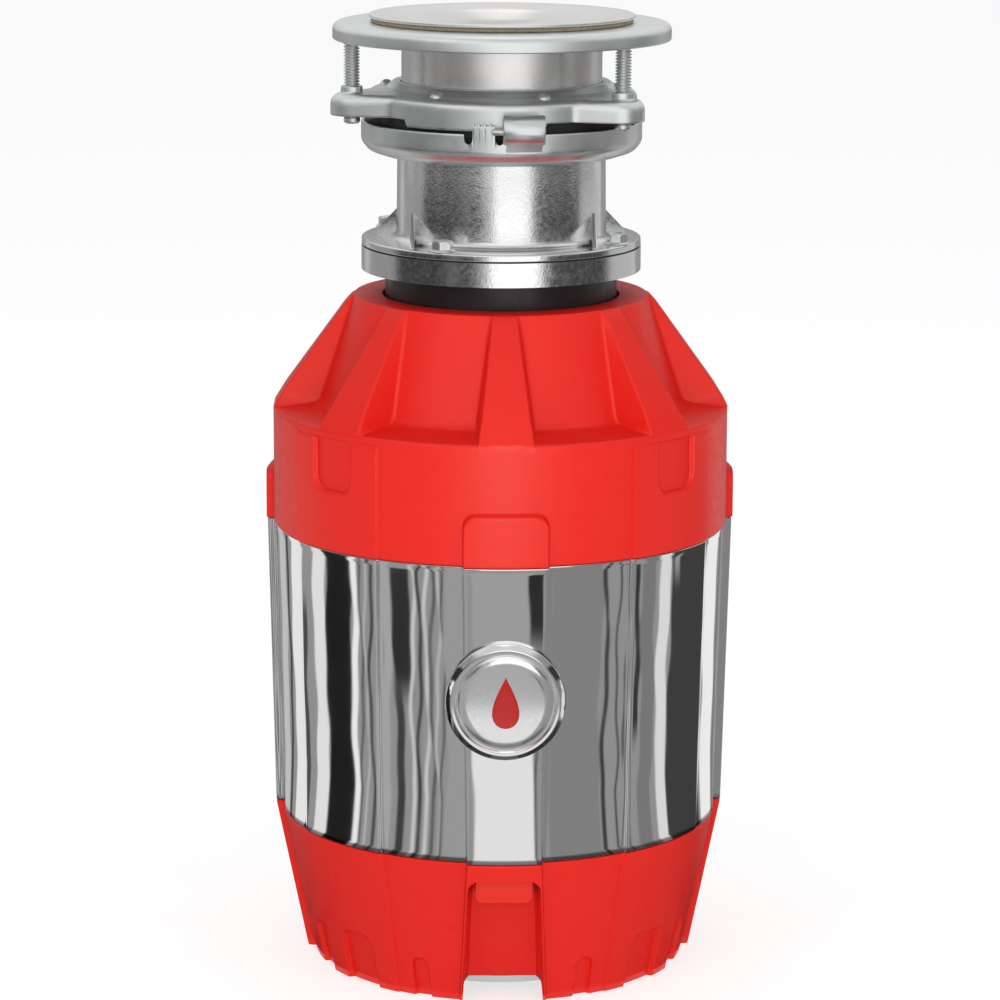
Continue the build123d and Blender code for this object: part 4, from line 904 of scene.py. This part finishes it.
def build_clamp_ring():
    """Locking bowl with two slots, a torn stop tab, a rolled tab and the short pin in it."""
    notches, tab = (-14.7, -2.2), (-8.45, 5.1)
    edges = [(a + side * 1.4) % 360 for a in notches for side in (-1, 1)] + [tab[0] % 360]
    azimuths = azimuth_columns(edges, fine=0.16, coarse=0.8, reach=2.8)
    arc = math.radians(1) * CLAMP_RADIUS
    top = np.full(len(azimuths), CLAMP_TOP)
    lean = turn_from(azimuths, tab[0])
    ragged = 3.9 + 0.5 * np.sin(lean * 2.6 + 1.2) + 0.35 * np.sin(lean * 5.3)
    top = top + ragged * soft_step((np.abs(lean) - tab[1]) * arc, 1.2)
    for notch in notches:
        across = np.abs(turn_from(azimuths, notch)) * arc
        depth = np.sqrt(np.clip(1 - (across / 1.9) ** 2, 0, 1)) * 3.0 + 1.2
        top = np.where(across < 1.9, np.minimum(top, CLAMP_TOP - depth), top)
    sheet = 1.6
    outside = rounded([(47.6, 356.4), (51.5, 356.6), (57.6, 358.6), (CLAMP_RADIUS, 362.4),
                       (CLAMP_RADIUS, 366.0)], [0, 5, 5, 5, 0], 7)
    inside = rounded([(CLAMP_RADIUS - sheet, 366.0), (CLAMP_RADIUS - sheet, 363.2),
                      (57.0, 360.0), (51.4, 358.2), (47.6, 358.0)], [0, 4, 4, 4, 0], 5)
    bulge = 0.5 * soft_step((np.abs(lean) - tab[1]) * arc, 3.0)
    radii = [np.full(len(azimuths), r) for r, z in outside]
    heights = [np.full(len(azimuths), z) for r, z in outside]
    for share in (0.3, 0.6, 0.85, 0.97):
        radii.append(CLAMP_RADIUS + bulge * share)
        heights.append(366 + (top - 0.2 - 366) * share)
    for inset, drop in ((0.12, 0.08), (0.5, 0.0), (sheet - 0.4, 0.0), (sheet, 0.4)):
        radii.append(CLAMP_RADIUS + bulge - inset)
        heights.append(top - drop)
    radii += [np.full(len(azimuths), r) for r, z in inside]
    heights += [np.full(len(azimuths), z) for r, z in inside]
    shells = [ring_grid(radii, heights, azimuths)]

    def along_x(outline, from_x, to_x, y, z, segments=48):
        """A closed tube or bar lying along X, from a (radius, x) outline."""
        span = to_x - from_x
        vertices = [(from_x + share * span, y + r * math.cos(t), z + r * math.sin(t))
                    for r, share in outline for t in full_turn(segments)]
        return vertices, grid_faces(len(outline), segments, close_rows=True)

    tube = [(6.2, 0.03), (6.2, 0.5), (6.2, 0.97), (5.9, 0.995), (5.4, 1), (4.9, 0.99),
            (4.6, 0.96), (4.6, 0.5), (4.6, 0.04), (4.9, 0.01), (5.4, 0), (5.9, 0.005)]
    shells.append(along_x(tube, -1.1, 16.5, -65.4, 373.6))
    pin = [(0.01, 0), (1.2, 0), (1.4, 0.02), (1.4, 0.98), (1.2, 1), (0.01, 1)]
    shells.append(along_x(pin, -5.4, 6.0, -62.6, 372.4, 24))
    web_azimuths = np.linspace(0.4, 14.6, 14)
    web = [(CLAMP_RADIUS - 0.8, 363.6), (CLAMP_RADIUS + 0.5, 363.8), (CLAMP_RADIUS + 1.3, 366.2),
           (CLAMP_RADIUS + 2.6, 368.2), (CLAMP_RADIUS + 3.0, 369.6), (CLAMP_RADIUS - 0.8, 370.8)]
    vertices = [at_round(r, a, z) for r, z in web for a in web_azimuths]
    count = len(web_azimuths)
    faces = grid_faces(len(web), count, close_rows=True, close_columns=False)
    faces += [tuple(k * count for k in range(len(web))),
              tuple(k * count + count - 1 for k in reversed(range(len(web))))]
    shells.append((vertices, faces))
    piece("clamp_ring_bowl", *joined(shells), "zinc_plate", body="lock_ring",
          replaces=("clamp_ring",), sharp=50)


# ------------------------------------------------------------------ hopper

BOLT_AZIMUTHS = (-28, 62, 152, 242)
BOLT_CIRCLE, SPIGOT_HEIGHT = 55.4, 340.0
FOOT_TOP, SEAM, HOPPER_RADIUS = 320.5, 317.0, 45.0


def plate(corners, radii, thickness, place):
    """A thin closed plate with a rounded outline; place maps (across, up, side) to space."""
    outline = rounded(corners, radii, 5, close=True)
    centre = np.mean(outline, axis=0)
    count = len(outline)
    vertices = []
    for side, inset in ((-0.5, 0.35), (-0.5 + 0.35 / thickness, 0), (0.5 - 0.35 / thickness, 0),
                        (0.5, 0.35)):
        for point in outline:
            toward = centre - point
            moved = point + toward / max(np.linalg.norm(toward), 1e-6) * inset
            vertices.append(place(moved[0], moved[1], side * thickness))
    faces = grid_faces(4, count)
    faces += [tuple(reversed(range(count))), tuple(range(3 * count, 4 * count))]
    return vertices, faces


def build_hopper():
    """Cast throat with its lip, foot, webs and hose spigot."""
    barrel = rounded([(41.0, SEAM + 0.6), (60.5, SEAM + 0.6), (60.5, FOOT_TOP),
                      (HOPPER_RADIUS + 0.4, FOOT_TOP), (HOPPER_RADIUS, 357.8), (46.0, 359.2),
                      (52.0, 359.6), (52.0, 363.0), (41.0, 363.0)],
                     [0.3, 0.3, 0.7, 3.2, 1, 1, 0.5, 0.5, 0.5], 8, close=True)
    dense = []
    for first, second in zip(barrel, barrel[1:] + barrel[:1]):
        count = max(1, int(np.linalg.norm(second - first) / 6))
        dense += [first + (second - first) * k / count for k in range(count)]
    shells = [turned_ring(dense, segments=256)]
    for side in (-1, 1):
        web = [(-42.6, FOOT_TOP - 0.5), (-20, FOOT_TOP - 0.5), (-20, 333.6), (-23.4, 333.6),
               (-33.0, 326.6)]
        shells.append(plate(web, [0.4, 0.4, 0.4, 1.0, 4.0], 1.9,
                            lambda across, up, out, side=side: (side * 38.7 + out, across, up)))
        turn = math.radians(side * 103)
        direction = np.array((math.sin(turn), -math.cos(turn)))
        normal = np.array((direction[1], -direction[0]))
        web = [(44, FOOT_TOP - 0.5), (57.0, FOOT_TOP - 0.5), (45.4, 332.0), (44, 332.0)]
        shells.append(plate(web, [0.4, 1.0, 0.6, 0.4], 1.9,
                            lambda across, up, out, direction=direction, normal=normal:
                            (*(direction * across + normal * out), up)))
    spigot = rounded([(8.6, 42.0), (12.4, 42.0), (12.4, 48.4), (11.1, 49.4), (11.1, 62.0),
                      (11.6, 64.5), (11.1, 67.0), (11.1, 73.0), (8.6, 73.0)],
                     [0.3, 0.6, 0.6, 0.8, 1, 1, 1, 0.6, 0.5], 4, close=True)
    vertices = [(r * math.cos(t), y, SPIGOT_HEIGHT + r * math.sin(t)) for r, y in spigot
                for t in full_turn(64)]
    shells.append((vertices, grid_faces(len(spigot), 64, close_rows=True)))
    piece("hopper_casting", *joined(shells), "casting", replaces=("hopper",), sharp=45)


def build_hopper_bolts():
    """Four hex washer-head bolts with chamfered, dished heads."""
    shells = []
    for azimuth in BOLT_AZIMUTHS:
        centre = around(BOLT_CIRCLE, azimuth)
        spin = math.radians(azimuth + 12)

        def hexagon(radius, turn, height, spin=spin):
            if not FOOT_TOP + 1.0 < height or radius < 3.6:
                return radius
            wedge = (turn + spin) % (math.pi / 3) - math.pi / 6
            flat = 4.0 / math.cos(wedge)
            return min(flat, radius)

        head = FOOT_TOP + 4.6
        outline = [(0, FOOT_TOP - 1), (2.2, FOOT_TOP - 1), (2.2, FOOT_TOP + 0.05),
                   (5.3, FOOT_TOP + 0.05), (5.45, FOOT_TOP + 0.35), (5.2, FOOT_TOP + 0.75),
                   (4.9, FOOT_TOP + 0.95), (4.62, FOOT_TOP + 1.15), (4.62, head - 1.1),
                   (4.62, head - 0.7), (4.4, head - 0.35), (4.1, head - 0.08), (3.7, head),
                   (3.2, head), (2.7, head - 0.35), (0, head - 0.45)]
        shells.append(turned_solid(outline, centre, 72, hexagon))
        shells.append(turned_solid([(0, 309.5), (2.1, 309.5), (2.1, FOOT_TOP - 0.9),
                                    (0, FOOT_TOP - 0.9)], centre, 24))
    piece("hopper_bolts_hex", *joined(shells), "zinc_plate", replaces=("hopper_bolts",), sharp=35)


# ------------------------------------------------------------------ badge

BADGE_HEIGHT = 138.8


def badge_point(across, up, out):
    """A point of the badge: right, up the band and out of the band's middle face."""
    front = BAND_RADIUS_HIGH - BAND_DRAFT * (BAND_TOP - BADGE_HEIGHT) + BAND_STEP
    lean = math.atan(BAND_DRAFT)
    return (across, -front - out * math.cos(lean) - up * math.sin(lean),
            BADGE_HEIGHT + up * math.cos(lean) - out * math.sin(lean))


def badge_disc(outline, segments=160):
    """A closed turned shell on the badge's axis, from an (r, out) outline off the axis."""
    vertices = [badge_point(r * math.cos(t), r * math.sin(t), out)
                for r, out in outline for t in full_turn(segments)]
    return vertices, grid_faces(len(outline), segments, close_rows=True)


def build_badge():
    """Bright bezel round a domed satin disc that carries a plain red drop."""
    bezel = rounded([(18.0, -2.0), (24.6, -2.0), (25.7, 0.4), (25.3, 2.6), (23.0, 5.1),
                     (21.4, 5.2), (20.5, 4.0), (18.0, 4.0)],
                    [0.3, 0.6, 1.6, 2.4, 1.0, 0.6, 0.3, 0.3], 7, close=True)
    piece("badge_bezel", *badge_disc(bezel), "chrome", replaces=("badge",), sharp=60)
    face = [(0.02, 3.2), (20.3, 3.2), (20.4, 4.0), (20.2, 4.35), (16, 4.75), (11, 5.02),
            (5, 5.17), (0.02, 5.2)]
    piece("badge_disc", *badge_disc(face), "enamel", replaces=("badge_inlay",), sharp=60)
    outline, drop_half_width, drop_half_height = [], 8.0, 11.6
    for turn in np.linspace(0, 2 * math.pi, 96, endpoint=False):
        outline.append(np.array((drop_half_width * math.sin(turn) * math.sin(turn / 2) ** 1.4,
                                 drop_half_height * math.cos(turn) + 0.4 * (1 - math.cos(turn)))))
    count = len(outline)
    vertices = []
    for shrink, out in ((1.0, 4.6), (1.0, 5.12), (0.985, 5.26), (0.95, 5.34), (0.5, 5.42)):
        vertices += [badge_point(*(point * shrink), out) for point in outline]
    vertices += [badge_point(0, -2, 5.43), badge_point(0, -2, 4.6)]
    faces = grid_faces(5, count)
    last = 4 * count
    faces += [(last + j, last + (j + 1) % count, 5 * count) for j in range(count)]
    faces += [((j + 1) % count, j, 5 * count + 1) for j in range(count)]
    piece("badge_drop", vertices, faces, "button_red", sharp=60)


# ------------------------------------------------------------------ stage

def build_stage():
    """A wide pale floor and four soft lights, the last for the red mouldings alone."""
    reach = 14.0
    mesh = bpy.data.meshes.new("floor")
    rings = [0.25, 0.8, 2.5, reach]
    segments = 64
    vertices = [(0, 0, 0)]
    for radius in rings:
        vertices += [(radius * math.cos(a), radius * math.sin(a), 0) for a in full_turn(segments)]
    faces = [(0, 1 + j, 1 + (j + 1) % segments) for j in range(segments)]
    faces += grid_faces(len(rings), segments, start=1)
    mesh.from_pydata(vertices, [], faces)
    floor = placed("floor", mesh)
    floor.data.materials.append(floor_material())

    def softbox(name, place, aim, size, watts):
        light = bpy.data.lights.new(name, "AREA")
        light.shape = "RECTANGLE"
        light.size, light.size_y = size
        light.energy = watts
        lamp = placed(name, light)
        lamp.location = place
        lamp.rotation_euler = (Vector(aim) - Vector(place)).to_track_quat("-Z", "Y").to_euler()
        return lamp

    softbox("key", (-1.4, -1.6, 1.5), (0, 0, 0.2), (1.0, 1.4), 6.5)
    softbox("fill", (1.6, -1.5, 1.2), (0, 0, 0.2), (1.0, 1.4), 5)
    softbox("overhead", (0, -0.1, 2.2), (0, 0, 0.2), (2.4, 2.4), 14)
    sheen = softbox("front_sheen", (0, -1.0, 0.34), (0, 0, 0.30), (0.30, 0.60), 4.5)
    plastics = bpy.data.collections.new("red_mouldings")
    for made in bpy.context.scene.objects:
        if "moulding" in made.name:
            plastics.objects.link(made)
    sheen.light_linking.receiver_collection = plastics


def build_tent():
    """A ring of soft panels and dark flags close round the object, seen only in its gloss."""
    radius, segments, base = 0.36, 1080, 0.30
    any_height = (-1.0, 9.0)
    # centre and half width in azimuths of the band, glow, and a height range where it has one
    stripes = ((-76, 3.0, 0.55), (-71, 0.8, 0.06), (-64.7, 3.7, 0.85),
               (-60.2, 1.1, 0.07, -1, 0.09), (-57.2, 1.2, 0.30), (-53, 2.6, 0.80),
               (-45.9, 4.6, 0.014, -1, 0.185), (-40.3, 1.0, 0.90), (-38.2, 0.4, 0.10),
               (-36.6, 0.3, 0.50), (-35.2, 0.5, 0.06), (-31, 1.2, 0.40),
               (-26.4, 2.6, 0.03, 0.055, 0.128), (-27.4, 1.1, 0.05, -1, 0.06), (-23.4, 0.5, 0.62),
               (-21.6, 0.5, 0.05), (-19.6, 0.5, 0.60), (-18.2, 0.5, 0.12), (-16.6, 0.4, 0.50),
               (-15.3, 0.3, 0.09), (-12, 2.6, 0.34), (0, 7.6, 0.82, -1, 0.055),
               (0, 7.6, 0.36, 0.055, 0.16), (8.6, 1.9, 0.025, 0.085, 0.135),
               (8.0, 0.35, 0.10, -1, 0.04), (19, 7, 0.235), (27.4, 0.6, 0.05), (29.5, 0.8, 0.30),
               (31.0, 0.3, 0.05), (33.6, 0.4, 0.10), (36.2, 0.9, 0.035, 0.03, 0.135),
               (40, 2.2, 0.20), (45.3, 2.0, 0.75), (56, 8.2, 0.05), (50.6, 1.0, 0.35, 0.11, 0.14),
               (70, 4.6, 0.90), (77, 1.2, 0.20), (-62, 10, 0.30, 0.2, 0.32),
               (-32, 20, 0.03, 0.2, 0.32), (-22, 3.0, 0.10, 0.2, 0.32),
               (5.5, 11.5, 1.35, 0.2, 0.32), (34, 15, 0.04, 0.2, 0.32), (62, 11, 0.5, 0.2, 0.32))

    def tent_azimuth(on_band):
        """Where the view, mirrored in the band at an azimuth, meets the tent."""
        turn, reach = math.radians(on_band), 0.1
        x, y = reach * math.sin(turn), reach * math.cos(turn)
        dx, dy = math.sin(2 * turn), math.cos(2 * turn)
        along = x * dx + y * dy
        travel = -along + math.sqrt(along * along - reach * reach + radius * radius)
        return math.degrees(math.atan2(x + travel * dx, y + travel * dy))

    heights = np.concatenate([np.linspace(0.003, 0.17, 60), np.linspace(0.18, 0.5, 30),
                              np.linspace(0.53, 1.5, 15)])
    azimuths = 360.0 * np.arange(segments) / segments
    vertices, shades = [], []
    for height in heights:
        shade = np.full(segments, base)
        for k, (centre, half, glow, *span) in enumerate(stripes):
            above, below = span or any_height
            first, last = tent_azimuth(centre - half), tent_azimuth(centre + half)
            sway = 0.9 * math.sin(height * 60 + k * 1.7) + 0.5 * math.sin(height * 150 + k * 2.3)
            away = np.abs(turn_from(azimuths + sway, (first + last) / 2)) - (last - first) / 2
            within = soft_step(np.array([above - height, height - below]), 0.02).prod()
            shade += (glow - shade) * soft_step(away, 1.2) * within
        near_top = float(soft_step(np.array(0.33 - height), 0.03))
        ahead = soft_step(np.abs(turn_from(azimuths, 4)) - 30, 40)
        shade += (0.30 + 1.15 * ahead - shade) * near_top * 0.72
        back_wall = float(soft_step(np.array(0.425 - height), 0.03))
        away_from_view = soft_step(110 - np.abs(turn_from(azimuths, 0)), 40)
        shade += (0.70 - shade) * away_from_view * back_wall
        overhead = float(soft_step(np.array(0.52 - height), 0.18))
        behind = soft_step(60 - np.abs(turn_from(azimuths, 0)), 60)
        shade += (0.66 + 0.22 * behind - shade) * overhead * 0.9
        vertices += [at_round(radius / MM, a, height / MM) for a in azimuths]
        shades += list(shade)
    vertices = [tuple(v) for v in np.array(vertices) * MM]
    foot = len(vertices)
    inward = ((0.70, 1.0), (0.60, 0.25), (0.1, 0.04))
    for share, dimming in inward:
        vertices += [(share * x, share * y, z) for x, y, z in vertices[:segments]]
        shades += [dimming * shade for shade in shades[:segments]]
    mesh = bpy.data.meshes.new("tent")
    faces = grid_faces(len(heights), segments) + grid_faces(len(inward), segments, start=foot)
    faces += [(j, (j + 1) % segments, foot + (j + 1) % segments, foot + j)
              for j in range(segments)]
    mesh.from_pydata(vertices, [], faces)
    glow = mesh.attributes.new("glow", "FLOAT", "POINT")
    glow.data.foreach_set("value", shades)
    tent = placed("tent", mesh)
    paint = bpy.data.materials.new("tent_glow")
    paint.use_nodes = True
    tree = paint.node_tree
    tree.nodes.clear()
    read = tree.nodes.new("ShaderNodeAttribute")
    read.attribute_name = "glow"
    emit = tree.nodes.new("ShaderNodeEmission")
    output = tree.nodes.new("ShaderNodeOutputMaterial")
    tree.links.new(read.outputs["Fac"], emit.inputs["Strength"])
    tree.links.new(emit.outputs[0], output.inputs["Surface"])
    tent.data.materials.append(paint)
    for ray in ("camera", "diffuse", "transmission", "volume_scatter", "shadow"):
        setattr(tent, "visible_" + ray, False)


def build_world():
    """Even bright surroundings, white behind the object."""
    world = bpy.data.worlds.new("studio")
    bpy.context.scene.world = world
    world.use_nodes = True
    tree = world.node_tree
    tree.nodes.clear()
    output = tree.nodes.new("ShaderNodeOutputWorld")
    background = tree.nodes.new("ShaderNodeBackground")
    background.inputs["Color"].default_value = (1, 1, 1, 1)
    background.inputs["Strength"].default_value = 0.50
    tree.links.new(background.outputs[0], output.inputs["Surface"])


add_camera()
materials = make_materials()
build_world()

slot_of = {entry["node"]: entry["material_slot"] for entry in frame["record"]["subparts"]}
for name, node in nodes.items():
    node.data.materials.clear()
    node.data.materials.append(materials[slot_of[name]])

build_upper_shell()
build_chrome_band()
build_lower_shell()
build_sink_flange()
build_mounting_ring()
build_mounting_screws()
build_clamp_ring()
build_hopper()
build_hopper_bolts()
build_badge()
build_stage()
build_tent()

bpy.context.scene.view_settings.view_transform = "Standard"
